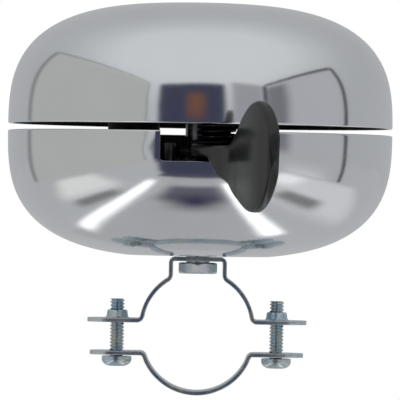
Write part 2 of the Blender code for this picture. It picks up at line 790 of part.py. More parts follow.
def hammer(name, angle, z, steel):
    """Turned head with a slot for the leaf and a hole for its cross pin."""
    half = HAMMER_HEIGHT / 2
    flat_radius = HAMMER_RADIUS - HAMMER_EDGE
    right = arc(HAMMER_EDGE, 90.0, 0.0, 3, (flat_radius, half - HAMMER_EDGE))
    left = arc(HAMMER_EDGE, 0.0, -90.0, 3, (flat_radius, HAMMER_EDGE - half))
    profile = [(0.0, z + half)] + [(r, z + h) for r, h in right + left] + [(0.0, z - half)]
    x, y, _ = on_arm(angle, HAMMER_REACH, 0.0, z)
    obj = to_mesh(turned(name, profile, steel, 24, (x, y), closed=False))
    slot_end = HAMMER_REACH + 2.0 + REST_GAP
    slot_start = HAMMER_REACH - HAMMER_RADIUS - 2.0
    slot = box(name + "_slot", (slot_end - slot_start, LEAF_THICKNESS + 2 * RUN_GAP, 12.0),
               on_arm(angle, (slot_end + slot_start) / 2, 0.0, z), steel, angle)
    obj = cut(obj, slot)
    hole = rod(name + "_hole", RIVET_RADIUS + RUN_GAP, on_arm(angle, HAMMER_REACH, -6.0, z),
               on_arm(angle, HAMMER_REACH, 6.0, z), steel, 12)
    return smooth(cut(obj, hole))


def cross_pin(name, angle, z, steel):
    reach = HAMMER_RADIUS - 0.2
    return rod(name, RIVET_RADIUS, on_arm(angle, HAMMER_REACH, -reach, z),
               on_arm(angle, HAMMER_REACH, reach, z), steel, 12)


def leaf_rivet(name, place, angle, z, side, brass):
    """Rivet through a leaf and its lug, a rest gap clear of both."""
    leaf_side = -LEAF_THICKNESS / 2 - REST_GAP
    lug_side = LEAF_THICKNESS / 2 + REST_GAP + LUG_THICKNESS + REST_GAP
    head_radius, head = 1.0, 0.5
    profile = [
        (0.0, lug_side + head),
        (head_radius * 0.6, lug_side + head),
        (head_radius, lug_side),
        (RIVET_RADIUS, lug_side),
        (RIVET_RADIUS, leaf_side),
        (head_radius, leaf_side),
        (head_radius * 0.6, leaf_side - head),
        (0.0, leaf_side - head),
    ]
    obj = to_mesh(turned(name, profile, brass, 12, closed=False))
    turn = Matrix.Rotation(radians(angle), 4, "Z") @ Matrix.Rotation(-side * pi / 2, 4, "X")
    obj.data.transform(turn)
    obj.location = Vector(on_arm(angle, place, 0.0, z)) * MM
    return smooth(obj)


# Clamp

def filleted(corners, radii, steps=4):
    """Polyline through the corners with each inner corner rounded by its radius."""
    path = [corners[0]]
    for index in range(1, len(corners) - 1):
        corner = Vector(corners[index])
        back = (Vector(corners[index - 1]) - corner).normalized()
        ahead = (Vector(corners[index + 1]) - corner).normalized()
        radius = radii[index - 1]
        if not radius:
            path.append(tuple(corner))
            continue
        half = back.angle(ahead) / 2
        center = corner + (back + ahead).normalized() * radius / sin(half)
        first = corner + back * radius * cos(half) / sin(half)
        last = corner + ahead * radius * cos(half) / sin(half)
        start, end = first - center, last - center
        turn = start.angle_signed(end)
        for step in range(steps + 1):
            path.append(tuple(center + Matrix.Rotation(-turn * step / steps, 2) @ start))
    path.append(corners[-1])
    return path


def saddle_arc(center_z, start, end, count):
    return arc(SADDLE_RADIUS, start, end, count, (0.0, center_z))


def strap(name, half_path, tip, zinc):
    """Bent strip of even thickness from the ear on +X to its mirror image, ears rounded."""
    path = half_path + [(-x, z) for x, z in reversed(half_path) if x > 1e-6]
    mesh = bpy.data.meshes.new(name)
    work = bmesh.new()
    ends = [work.verts.new((x * MM, -STRAP_WIDTH / 2 * MM, z * MM)) for x, z in path]
    edges = [work.edges.new(pair) for pair in zip(ends[:-1], ends[1:])]
    made = bmesh.ops.extrude_edge_only(work, edges=edges)["geom"]
    moved = [item for item in made if isinstance(item, bmesh.types.BMVert)]
    bmesh.ops.translate(work, verts=moved, vec=(0.0, STRAP_WIDTH * MM, 0.0))
    work.to_mesh(mesh)
    work.free()
    obj = add_object(name, mesh, zinc)
    solid = obj.modifiers.new("Solidify", "SOLIDIFY")
    solid.thickness = STRAP_THICKNESS * MM
    solid.offset = 0.0
    solid.use_even_offset = True
    bpy.context.view_layer.update()
    obj = to_mesh(obj)
    half = STRAP_WIDTH / 2
    x, y = tip - EAR_CORNER, half - EAR_CORNER
    plan = []
    for start, center in ((0.0, (x, y)), (90.0, (-x, y)), (180.0, (-x, -y)), (270.0, (x, -y))):
        plan += arc(EAR_CORNER, start, start + 90.0, 6, center)
    plan_name = name + "_plan"
    outline = to_mesh(flat(plan_name, [plan], -30.0, 30.0, zinc))
    return boolean(obj, outline, "INTERSECT")


def ear_holes(obj, radius, z):
    for side in (-1, 1):
        x = side * SCREW_X
        hole = rod(f"{obj.name}_hole_{side}", radius, (x, 0.0, z - 6.0), (x, 0.0, z + 6.0),
                   obj.data.materials[0], 24)
        obj = cut(obj, hole)
    return obj


def clamp_upper_strap(zinc):
    ear_corner = (sqrt(SADDLE_RADIUS ** 2 - UPPER_EAR_Z ** 2), UPPER_EAR_Z)
    leg_corner = (LAND_HALF_WIDTH, sqrt(SADDLE_RADIUS ** 2 - LAND_HALF_WIDTH ** 2))
    middle = saddle_arc(0.0, 13.5, 55.5, 6)
    corners = [(UPPER_EAR_TIP, UPPER_EAR_Z), ear_corner] + middle
    corners += [leg_corner, (LAND_HALF_WIDTH, LAND_Z), (0.0, LAND_Z)]
    radii = [1.1] + [0.0] * len(middle) + [1.4, 0.8]
    obj = strap("clamp_upper_strap", filleted(corners, radii), UPPER_EAR_TIP, zinc)
    top = UPPER_EAR_Z + STRAP_THICKNESS / 2 + COLLAR_HEIGHT
    profile = [(0.5, top), (COLLAR_TOP_RADIUS - 0.2, top), (COLLAR_TOP_RADIUS, top - 0.3),
               (COLLAR_BASE_RADIUS, UPPER_EAR_Z + 0.2), (0.5, UPPER_EAR_Z + 0.2)]
    for side in (-1, 1):
        collar = turned(f"collar_{side}", profile, zinc, 24, (side * SCREW_X, 0.0))
        obj = join(obj, to_mesh(collar))
    obj = ear_holes(obj, SCREW_RADIUS + RUN_GAP, UPPER_EAR_Z)
    post_hole = rod("strap_post_hole", POST_END_RADIUS + RUN_GAP + 0.1, (0.0, 0.0, 10.0),
                    (0.0, 0.0, 20.0), zinc, 24)
    return smooth(cut(obj, post_hole), 35.0)


def clamp_lower_strap(zinc):
    drop = LOWER_SADDLE_Z - LOWER_EAR_Z
    ear_corner = (sqrt(SADDLE_RADIUS ** 2 - drop ** 2), LOWER_EAR_Z)
    middle = saddle_arc(LOWER_SADDLE_Z, -26.0, -90.0, 9)
    corners = [(LOWER_EAR_TIP, LOWER_EAR_Z), ear_corner] + middle
    radii = [1.0] + [0.0] * (len(middle) - 1)
    path = filleted(corners, radii)
    obj = strap("clamp_lower_strap", path, LOWER_EAR_TIP, zinc)
    return smooth(ear_holes(obj, SCREW_RADIUS + RUN_GAP + 0.1, LOWER_EAR_Z), 35.0)


def clamp_screw(name, x, zinc):
    head_top = LOWER_EAR_Z - STRAP_THICKNESS / 2 - REST_GAP
    head_low = head_top - SCREW_HEAD_HEIGHT
    tip_edge = 0.4
    crown = arc(1.0, 0.0, -90.0, 3, (SCREW_HEAD_RADIUS - 1.0, head_low + 1.0))
    profile = [
        (0.0, SCREW_TIP_Z),
        (SCREW_RADIUS - tip_edge, SCREW_TIP_Z),
        (SCREW_RADIUS, SCREW_TIP_Z - tip_edge),
        (SCREW_RADIUS, head_top),
        (SCREW_HEAD_RADIUS, head_top),
    ]
    profile += crown + [(0.0, head_low)]
    obj = to_mesh(turned(name, profile, zinc, 24, (x, 0.0), closed=False))
    recess_depth = 1.1
    for turn in (45.0, 135.0):
        blade = box(f"{name}_recess_{turn}", (3.4, 0.8, 2 * recess_depth), (x, 0.0, head_low),
                    zinc, turn)
        obj = cut(obj, blade)
    return smooth(obj)


def main():
    global parts, cutters
    clear_scene()
    parts = new_collection("bicycle_bell")
    cutters = new_collection("cutters")
    chrome = material("chrome", (0.86, 0.87, 0.89), 0.05, 1.0)
    zinc = material("zinc_plate", (0.62, 0.68, 0.74), 0.3, 1.0)
    steel = material("plain_steel", (0.5, 0.5, 0.5), 0.4, 1.0)
    wire = material("spring_steel", (0.12, 0.12, 0.13), 0.35, 1.0)
    brass = material("brass", (0.75, 0.6, 0.3), 0.35, 1.0)
    lever_plastic = material("lever_plastic", (0.05, 0.05, 0.05), 0.35, 0.0)
    gear_plastic = material("gear_plastic", (0.03, 0.03, 0.035), 0.4, 0.0)

    upper_dome(chrome)
    upper_dome_boss(steel)
    lower_dome(chrome)
    center_post(zinc)
    post_stack(zinc, steel)
    mechanism_plate(steel)
    pivot_pin("lever_pivot_pin", LEVER_PIVOT, LEVER_BOSS_TOP_Z, LEVER_BOSS_TOP_Z + 1.6, steel)
    clip("lever_clip", LEVER_PIVOT, LEVER_BOSS_TOP_Z, wire, 90.0)
    shoulder_pin("lever_stop_pin", stop_pin_place(), ARM_Z + ARM_THICKNESS + 0.6, steel)
    shoulder_pin("spring_anchor_pin", anchor_pin_place(), LEVER_BOSS_TOP_Z + 1.0, steel)
    thumb_lever(lever_plastic)
    lever_return_spring(wire)
    pivot_pin("hammer_pivot_pin", CARRIER_PIVOT, CARRIER_TOP_Z, CARRIER_TOP_Z + 1.6, steel)
    clip("hammer_pin_clip", CARRIER_PIVOT, CARRIER_TOP_Z, wire, 200.0)
    hammer_carrier(gear_plastic)
    for name, angle, z, side in hammer_arms():
        leaf_spring(f"{name}_leaf_spring", angle, z, wire)
        for number, place in enumerate(RIVET_PLACES, 1):
            leaf_rivet(f"{name}_leaf_rivet_{number}", place, angle, z, side, brass)
        hammer(f"{name}_hammer", angle, z, steel)
        cross_pin(f"{name}_hammer_pin", angle, z, brass)
    clamp_upper_strap(zinc)
    clamp_lower_strap(zinc)
    clamp_screw("clamp_screw_left", -SCREW_X, zinc)
    clamp_screw("clamp_screw_right", SCREW_X, zinc)


main()
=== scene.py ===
"""Bicycle bell: two facing chromed domes, a hammer mechanism, a thumb lever and a handlebar clamp.

Laid out as an add-on and run as a script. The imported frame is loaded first, then each
operator models or finishes one piece round it.
"""

import json
from math import atan2, ceil, cos, hypot, pi, radians, sin, sqrt, tan, tau

import bmesh
import bpy
from mathutils import Matrix, Vector


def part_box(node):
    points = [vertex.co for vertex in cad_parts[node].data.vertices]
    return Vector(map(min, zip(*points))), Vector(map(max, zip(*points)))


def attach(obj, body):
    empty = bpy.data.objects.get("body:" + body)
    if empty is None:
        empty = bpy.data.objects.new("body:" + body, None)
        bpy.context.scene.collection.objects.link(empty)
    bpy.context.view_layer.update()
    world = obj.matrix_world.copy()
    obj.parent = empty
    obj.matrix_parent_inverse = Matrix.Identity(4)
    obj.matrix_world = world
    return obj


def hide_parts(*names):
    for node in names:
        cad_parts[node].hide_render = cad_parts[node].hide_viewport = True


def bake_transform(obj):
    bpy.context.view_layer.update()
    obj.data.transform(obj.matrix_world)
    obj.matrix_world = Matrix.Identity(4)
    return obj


bl_info = {
    "name": "Bicycle bell with thumb lever",
    "version": (1, 0, 0),
    "blender": (4, 5, 0),
    "location": "View3D > Sidebar > Bell",
    "description": "Models a two-tone bicycle bell round its packed frame, with its finishes and stage",
    "category": "Add Mesh",
}

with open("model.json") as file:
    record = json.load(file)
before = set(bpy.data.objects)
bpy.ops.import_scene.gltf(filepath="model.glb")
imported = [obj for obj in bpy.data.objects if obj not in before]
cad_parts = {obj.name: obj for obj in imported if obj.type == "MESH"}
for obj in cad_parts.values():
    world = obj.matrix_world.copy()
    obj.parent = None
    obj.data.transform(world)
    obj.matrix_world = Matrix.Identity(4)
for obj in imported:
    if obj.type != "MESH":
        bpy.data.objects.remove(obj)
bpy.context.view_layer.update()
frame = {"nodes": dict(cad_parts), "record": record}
MM = 0.001
UPPER_LOW, UPPER_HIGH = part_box("upper_dome")
LOWER_LOW, LOWER_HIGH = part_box("lower_dome")
LEVER_LOW, LEVER_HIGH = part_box("thumb_lever")
STRAP_LOW, STRAP_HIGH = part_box("clamp_upper_strap")
SADDLE_LOW, SADDLE_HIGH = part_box("clamp_lower_strap")
SCREW_LOW, SCREW_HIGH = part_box("clamp_screw_right")
NUT_LOW, NUT_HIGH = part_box("post_nut")


def length(name, description, default):
    return bpy.props.FloatProperty(name=name, description=description, default=default,
                                   unit="LENGTH", precision=5)


def colour(name, description, default):
    return bpy.props.FloatVectorProperty(name=name, description=description, default=default,
                                         subtype="COLOR", size=3, min=0.0, max=1.0)


class BellSizes(bpy.types.PropertyGroup):
    """Sizes of the visible pieces, taken from the frame where it gives them."""

    dome_radius: length("Dome radius", "Half the width of both domes", UPPER_HIGH.x)
    dome_wall: length("Dome wall", "Thickness of the domes' sheet", 1.0 * MM)
    dome_power: bpy.props.FloatProperty(
        name="Dome fullness", description="2 is an ellipse, more is squarer", default=2.95)
    upper_rim_rise: length("Upper rim rise", "Upper rim above the middle of the domes' curve",
                           0.93 * MM)
    rim_rounding: length("Rim rounding", "Rounding of the domes' cut rims", 0.3 * MM)
    slot_half_width: length("Slot half width", "Half the width of the lever's slot", 8.0 * MM)
    slot_depth: length("Slot depth", "Depth of the lever's slot below the rim", 6.25 * MM)
    slot_dent: length("Slot dent", "How far the sheet is drawn in beside the slot", 0.11 * MM)
    pad_width: length("Pad width", "Width of the thumb pad", 18.0 * MM)
    pad_height: length("Pad height", "Height of the thumb pad", 22.3 * MM)
    pad_thickness: length("Pad thickness", "Thickness of the pad and its neck", 2.4 * MM)
    wire_radius: length("Wire radius", "Half the thickness of the return spring's wire", 0.4 * MM)
    coil_radius: length("Coil radius", "Radius of the return spring", 3.6 * MM)
    strap_thickness: length("Strap thickness", "Thickness of the clamp's strip", 0.86 * MM)
    strap_width: length("Strap width", "Width of the clamp's strip", 10.0 * MM)
    thread_pitch: length("Thread pitch", "Pitch of the clamp screws", 0.7 * MM)


class BellColours(bpy.types.PropertyGroup):
    """Colours of the finishes."""

    chrome: colour("Chrome", "Polished chrome plate", (0.80, 0.815, 0.835))
    zinc: colour("Zinc", "Blue passivated zinc plate", (0.54, 0.62, 0.65))
    steel: colour("Steel", "Plain steel", (0.30, 0.30, 0.305))
    inside_plate: colour("Inside plate", "Unpolished inside of the domes", (0.20, 0.20, 0.205))
    spring_steel: colour("Spring steel", "Oiled spring steel", (0.13, 0.13, 0.14))
    brass: colour("Brass", "Brass rivets and pins", (0.72, 0.55, 0.27))
    lever_plastic: colour("Lever plastic", "Dark grey moulded plastic", (0.017, 0.017, 0.0175))
    gear_plastic: colour("Gear plastic", "Black moulded plastic", (0.018, 0.018, 0.020))
    floor: colour("Floor", "Pale floor", (0.80, 0.80, 0.80))


# Modelling steps

def begin():
    """Leaves object mode with nothing selected."""
    if bpy.context.object and bpy.context.object.mode != "OBJECT":
        bpy.ops.object.mode_set(mode="OBJECT")
    bpy.ops.object.select_all(action="DESELECT")


def named(name):
    obj = bpy.context.object
    obj.name = name
    obj.data.name = name
    return obj


def edit(kind="VERT"):
    bpy.ops.object.mode_set(mode="EDIT")
    bpy.ops.mesh.select_mode(type=kind)
    bpy.ops.mesh.select_all(action="SELECT")


def done():
    bpy.ops.object.mode_set(mode="OBJECT")


def only(obj):
    begin()
    obj.select_set(True)
    bpy.context.view_layer.objects.active = obj
    return obj


def select_where(obj, test, kind="verts"):
    """In edit mode, selects the points, edges or faces for which the test holds."""
    bpy.ops.mesh.select_all(action="DESELECT")
    work = bmesh.from_edit_mesh(obj.data)
    found = 0
    for item in getattr(work, kind):
        if test(item):
            item.select_set(True)
            found += 1
    bmesh.update_edit_mesh(obj.data)
    if not found:
        raise RuntimeError(f"{obj.name}: no {kind} to select")
    return found


def close_up(distance=2e-6):
    """Merges doubles and turns every face outwards."""
    bpy.ops.mesh.select_all(action="SELECT")
    bpy.ops.mesh.remove_doubles(threshold=distance)
    bpy.ops.mesh.normals_make_consistent(inside=False)


def turned(name, section, steps, at=(0.0, 0.0), closed=False):
    """A section of (radius, height) points, drawn by extruding one point, spun about an upright axis."""
    begin()
    bpy.ops.mesh.primitive_plane_add(size=0.01, location=(0.0, 0.0, 0.0))
    obj = named(name)
    edit()
    bpy.ops.mesh.merge(type="CENTER")
    bpy.ops.transform.translate(value=(at[0] + section[0][0], at[1], section[0][1]))
    line = list(section) + ([section[0]] if closed else [])
    for (radius, height), (next_radius, next_height) in zip(line, line[1:]):
        move = (next_radius - radius, 0.0, next_height - height)
        bpy.ops.mesh.extrude_region_move(TRANSFORM_OT_translate={"value": move})
    bpy.ops.mesh.select_all(action="SELECT")
    bpy.ops.mesh.remove_doubles(threshold=1e-7)
    bpy.ops.mesh.select_all(action="SELECT")
    bpy.ops.mesh.spin(steps=steps, angle=tau, center=(at[0], at[1], 0.0), axis=(0.0, 0.0, 1.0))
    close_up()
    done()
    return obj


X_AXIS, Y_AXIS, Z_AXIS = Vector((1, 0, 0)), Vector((0, 1, 0)), Vector((0, 0, 1))
# The two directions of a carried section's path and its own long direction
PATH_AXES = {"Z": (X_AXIS, Y_AXIS, Z_AXIS), "Y": (X_AXIS, Z_AXIS, Y_AXIS)}


def carried(name, axis, stations, thickness, rounding):
    """A flat rounded section carried along a bent path. The section is long along the axis, and each
    station (a, b, direction, low, high, scale) extrudes it, turns it and moves its two ends."""
    plane_a, plane_b, long_way = PATH_AXES[axis]
    a, b, direction, low, high, scale = stations[0][:6]
    begin()
    bpy.ops.mesh.primitive_plane_add(size=1.0, location=(0.0, 0.0, 0.0))
    obj = named(name)
    obj.data.transform(Matrix((long_way, plane_b, plane_a)).transposed().to_4x4())
    edit()
    width = [high - low if way else thickness * scale for way in long_way]
    bpy.ops.transform.resize(value=tuple(size if size else 1.0 for size in width),
                             center_override=(0.0, 0.0, 0.0))
    bpy.ops.mesh.bevel(offset=rounding, segments=4, affect="VERTICES")
    bpy.ops.mesh.select_all(action="SELECT")
    turn_section(axis, direction, Vector())
    middle = plane_a * a + plane_b * b + long_way * (low + high) / 2
    bpy.ops.transform.translate(value=middle)
    for before, after in zip(stations, stations[1:]):
        step = plane_a * (after[0] - before[0]) + plane_b * (after[1] - before[1])
        bpy.ops.mesh.extrude_region_move(TRANSFORM_OT_translate={"value": step})
        place = plane_a * after[0] + plane_b * after[1]
        if abs(after[2] - before[2]) > 1e-6:
            turn_section(axis, after[2] - before[2], place)
        ratio = after[5] / before[5]
        if abs(ratio - 1.0) > 1e-6:
            sizes = tuple(1.0 if way else ratio for way in long_way)
            bpy.ops.transform.resize(value=sizes, center_override=place)
        move_ends(obj, long_way, before, after)
    bpy.ops.mesh.select_all(action="SELECT")
    bpy.ops.mesh.normals_make_consistent(inside=False)
    done()
    return obj


def turn_section(axis, angle, place):
    """Turns the selection from the path's first direction towards its second one."""
    sign = -1.0 if axis == "Z" else 1.0
    if abs(angle) > 1e-9:
        bpy.ops.transform.rotate(value=sign * angle, orient_axis=axis, orient_type="GLOBAL",
                                 center_override=tuple(place))


def move_ends(obj, long_way, before, after):
    """Moves the lower and the upper half of the selected section by their own steps."""
    middle = (before[3] + before[4]) / 2
    work = bmesh.from_edit_mesh(obj.data)
    section = [vert for vert in work.verts if vert.select]
    low = [vert for vert in section if vert.co.dot(long_way) < middle]
    high = [vert for vert in section if vert.co.dot(long_way) >= middle]
    lean = (end_lean(after) - end_lean(before)) if len(after) > 6 else Vector()
    bmesh.ops.translate(work, verts=low, vec=long_way * (after[3] - before[3]) - lean)
    bmesh.ops.translate(work, verts=high, vec=long_way * (after[4] - before[4]) + lean)
    bmesh.update_edit_mesh(obj.data)


def end_lean(station):
    """How far a station's high end leads its middle, when the section leans along its path."""
    reach = station[6] * (station[4] - station[3]) / 2
    return Vector((cos(station[2]), sin(station[2]), 0.0)) * reach


def apply_modifiers(obj):
    only(obj)
    for modifier in list(obj.modifiers):
        bpy.ops.object.modifier_apply(modifier=modifier.name)
    return obj


def boolean(obj, other, operation):
    """Cuts, joins or trims the piece with the other solid, which is used up."""
    modifier = obj.modifiers.new(operation.title(), "BOOLEAN")
    modifier.operation = operation
    modifier.solver = "EXACT"
    modifier.object = other
    apply_modifiers(obj)
    bpy.data.objects.remove(other)
    return obj


def block(name, size, middle, turn=0.0, edge=0.0):
    """Cutter with its upright or lengthwise edges rounded."""
    begin()
    bpy.ops.mesh.primitive_cube_add(size=1.0, location=(0.0, 0.0, 0.0))
    obj = named(name)
    edit()
    bpy.ops.transform.resize(value=size, center_override=(0.0, 0.0, 0.0))
    if edge:
        select_where(obj, lambda e: abs(e.verts[0].co.y - e.verts[1].co.y) > size[1] / 2, "edges")
        bpy.ops.mesh.bevel(offset=edge, segments=4, affect="EDGES")
        bpy.ops.mesh.select_all(action="SELECT")
    if turn:
        bpy.ops.transform.rotate(value=turn, orient_axis="Z", center_override=(0.0, 0.0, 0.0))
    bpy.ops.transform.translate(value=middle)
    done()
    return obj


def round_bar(name, radius, low, high, at, sides=48):
    begin()
    bpy.ops.mesh.primitive_cylinder_add(vertices=sides, radius=radius, depth=high - low,
                                        location=(0.0, 0.0, 0.0))
    obj = named(name)
    edit()
    bpy.ops.transform.translate(value=(at[0], at[1], (low + high) / 2))
    done()
    return obj


def join_pieces(obj, *others):
    only(obj)
    for other in others:
        other.select_set(True)
    bpy.ops.object.join()
    return obj


def finish_piece(obj, material, body, slot, *nodes, angle=35.0):
    only(obj)
    bpy.ops.object.shade_smooth_by_angle(angle=radians(angle))
    obj.data.materials.clear()
    obj.data.materials.append(material)
    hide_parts(*nodes)
    if body:
        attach(obj, body)
    return obj


# Finishes

def new_group(name, inputs, outputs):
    """Empty node group with named sockets: {name: (type, default)} in, {name: type} out."""
    group = bpy.data.node_groups.new(name, "ShaderNodeTree")
    for label, (kind, default) in inputs.items():
        socket = group.interface.new_socket(name=label, in_out="INPUT", socket_type=kind)
        if default is not None:
            socket.default_value = default
    for label, kind in outputs.items():
        group.interface.new_socket(name=label, in_out="OUTPUT", socket_type=kind)
    enter = group.nodes.new("NodeGroupInput")
    leave = group.nodes.new("NodeGroupOutput")
    return group, enter, leave


def add_node(tree, kind, **settings):
    node = tree.nodes.new(kind)
    for key, value in settings.items():
        if key in node.inputs:
            node.inputs[key].default_value = value
        else:
            setattr(node, key, value)
    return node


def math_node(tree, operation, first, second):
    node = tree.nodes.new("ShaderNodeMath")
    node.operation = operation
    for socket, value in zip(node.inputs, (first, second)):
        if hasattr(value, "links"):
            tree.links.new(value, socket)
        else:
            socket.default_value = value
    return node.outputs[0]


def scratches_group():
    """Fine crossing hairlines: a mask and a height."""
    group, enter, leave = new_group(
        "hairline_scratches",
        {"Vector": ("NodeSocketVector", None), "Density": ("NodeSocketFloat", 900.0),
         "Amount": ("NodeSocketFloat", 0.5)},
        {"Mask": "NodeSocketFloat", "Height": "NodeSocketFloat"})
    link = group.links.new
    masks = []
    for turn, stretch in ((0.5, 14.0), (2.1, 18.0)):
        place = add_node(group, "ShaderNodeMapping")
        place.inputs["Rotation"].default_value = (turn, turn * 0.6, turn)
        place.inputs["Scale"].default_value = (1.0, 1.0 / stretch, 1.0)
        noise = add_node(group, "ShaderNodeTexNoise", Detail=2.0)
        thin = add_node(group, "ShaderNodeMapRange")
        thin.inputs["From Min"].default_value = 0.66
        thin.inputs["From Max"].default_value = 0.74
        link(enter.outputs["Vector"], place.inputs["Vector"])
        link(place.outputs[0], noise.inputs["Vector"])
        link(enter.outputs["Density"], noise.inputs["Scale"])
        link(noise.outputs["Fac"], thin.inputs["Value"])
        masks.append(thin.outputs[0])
    both = math_node(group, "MAXIMUM", masks[0], masks[1])
    mask = math_node(group, "MULTIPLY", both, enter.outputs["Amount"])
    link(mask, leave.inputs["Mask"])
    link(math_node(group, "MULTIPLY", mask, -1.0), leave.inputs["Height"])
    return group


def mottle_group():
    """Uneven plating, moulding or handling: a soft value round one half."""
    group, enter, leave = new_group(
        "uneven_surface",
        {"Vector": ("NodeSocketVector", None), "Size": ("NodeSocketFloat", 120.0),
         "Contrast": ("NodeSocketFloat", 1.0)},
        {"Value": "NodeSocketFloat"})
    link = group.links.new
    wide = add_node(group, "ShaderNodeTexNoise", Detail=4.0, Roughness=0.55)
    link(enter.outputs["Vector"], wide.inputs["Vector"])
    link(enter.outputs["Size"], wide.inputs["Scale"])
    centred = math_node(group, "SUBTRACT", wide.outputs["Fac"], 0.5)
    scaled = math_node(group, "MULTIPLY", centred, enter.outputs["Contrast"])
    node = math_node(group, "ADD", scaled, 0.5)
    link(node, leave.inputs["Value"])
    return group


def grain_group():
    """Fine moulded or rolled grain: a height."""
    group, enter, leave = new_group(
        "fine_grain",
        {"Vector": ("NodeSocketVector", None), "Size": ("NodeSocketFloat", 3000.0),
         "Stretch": ("NodeSocketVector", (1.0, 1.0, 1.0))},
        {"Height": "NodeSocketFloat"})
    link = group.links.new
    place = add_node(group, "ShaderNodeVectorMath", operation="MULTIPLY")
    noise = add_node(group, "ShaderNodeTexNoise", Detail=3.0)
    link(enter.outputs["Vector"], place.inputs[0])
    link(enter.outputs["Stretch"], place.inputs[1])
    link(place.outputs[0], noise.inputs["Vector"])
    link(enter.outputs["Size"], noise.inputs["Scale"])
    link(noise.outputs["Fac"], leave.inputs["Height"])
    return group


def edge_group():
    """Worn or bright edges, from the surface's own corners: a mask."""
    group, enter, leave = new_group(
        "worn_edges", {"Width": ("NodeSocketFloat", 0.06)}, {"Mask": "NodeSocketFloat"})
    link = group.links.new
    shape = add_node(group, "ShaderNodeNewGeometry")
    high = math_node(group, "ADD", enter.outputs["Width"], 0.5)
    spread = add_node(group, "ShaderNodeMapRange")
    spread.inputs["From Min"].default_value = 0.515
    link(shape.outputs["Pointiness"], spread.inputs["Value"])
    link(high, spread.inputs["From Max"])
    link(spread.outputs[0], leave.inputs["Mask"])
    return group


GROUPS = {}


class Finish:
    """A material with its shader, object coordinates and the shared groups to hand."""

    def __init__(self, name, base, roughness, metallic):
        self.material = bpy.data.materials.new(name)
        self.material.use_nodes = True
        self.material.diffuse_color = (*base, 1.0)
        self.tree = self.material.node_tree
        self.shader = self.tree.nodes["Principled BSDF"]
        self.shader.inputs["Metallic"].default_value = metallic
        self.shader.inputs["Roughness"].default_value = roughness
        coordinates = self.tree.nodes.new("ShaderNodeTexCoord")
        self.place = coordinates.outputs["Object"]

    def link(self, source, target):
        self.tree.links.new(source, target)

    def group(self, name, **values):
        node = self.tree.nodes.new("ShaderNodeGroup")
        node.node_tree = GROUPS[name]
        if "Vector" in node.inputs:
            self.link(self.place, node.inputs["Vector"])
        for key, value in values.items():
            node.inputs[key].default_value = value
        return node.outputs

    def tones(self, factor, *stops):
        """Colour ramp over the factor: stops are (position, colour)."""
        ramp = self.tree.nodes.new("ShaderNodeValToRGB")
        elements = ramp.color_ramp.elements
        while len(elements) < len(stops):
            elements.new(0.5)
        for element, (position, tone) in zip(elements, stops):
            element.position = position
            element.color = (*tone, 1.0)
        self.link(factor, ramp.inputs["Fac"])
        return ramp.outputs["Color"]

    def mixed(self, factor, first, second):
        mix = self.tree.nodes.new("ShaderNodeMix")
        mix.data_type = "RGBA"
        self.link(factor, mix.inputs["Factor"])
        ends = [socket for socket in mix.inputs if socket.type == "RGBA"]
        for socket, value in zip(ends, (first, second)):
            if hasattr(value, "links"):
                self.link(value, socket)
            else:
                socket.default_value = (*value, 1.0)
        return next(socket for socket in mix.outputs if socket.type == "RGBA")

    def spread(self, value, low, high):
        """The value from 0 to 1 spread between low and high."""
        node = self.tree.nodes.new("ShaderNodeMapRange")
        node.inputs["To Min"].default_value = low
        node.inputs["To Max"].default_value = high
        self.link(value, node.inputs["Value"])
        return node.outputs[0]

    def combine(self, operation, first, second):
        return math_node(self.tree, operation, first, second)

    def bump(self, height, distance, strength=1.0, under=None):
        node = self.tree.nodes.new("ShaderNodeBump")
        node.inputs["Distance"].default_value = distance
        node.inputs["Strength"].default_value = strength
        self.link(height, node.inputs["Height"])
        if under:
            self.link(under, node.inputs["Normal"])
        return node.outputs["Normal"]


def shaded(base, factor):
    return tuple(min(max(part * factor, 0.0), 1.0) for part in base)


def make_chrome(base):
    """Mirror chrome: a slow waviness of the drawn sheet, faint hairlines and haze."""
    finish = Finish("polished_chrome", base, 0.06, 1.0)
    haze = finish.group("uneven_surface", Size=45.0, Contrast=1.2)["Value"]
    lines = finish.group("hairline_scratches", Density=1400.0, Amount=0.35)
    wave = finish.group("uneven_surface", Size=28.0, Contrast=1.0)["Value"]
    tone = finish.tones(haze, (0.3, shaded(base, 0.97)), (0.7, shaded(base, 1.02)))
    finish.link(tone, finish.shader.inputs["Base Color"])
    gloss = finish.combine("ADD", finish.spread(haze, 0.075, 0.12),
                           finish.combine("MULTIPLY", lines["Mask"], 0.10))
    finish.link(gloss, finish.shader.inputs["Roughness"])
    slow = finish.bump(wave, 0.00016, 0.5)
    fine = finish.bump(lines["Height"], 0.000003, 0.3, slow)
    finish.link(fine, finish.shader.inputs["Normal"])
    return finish.material


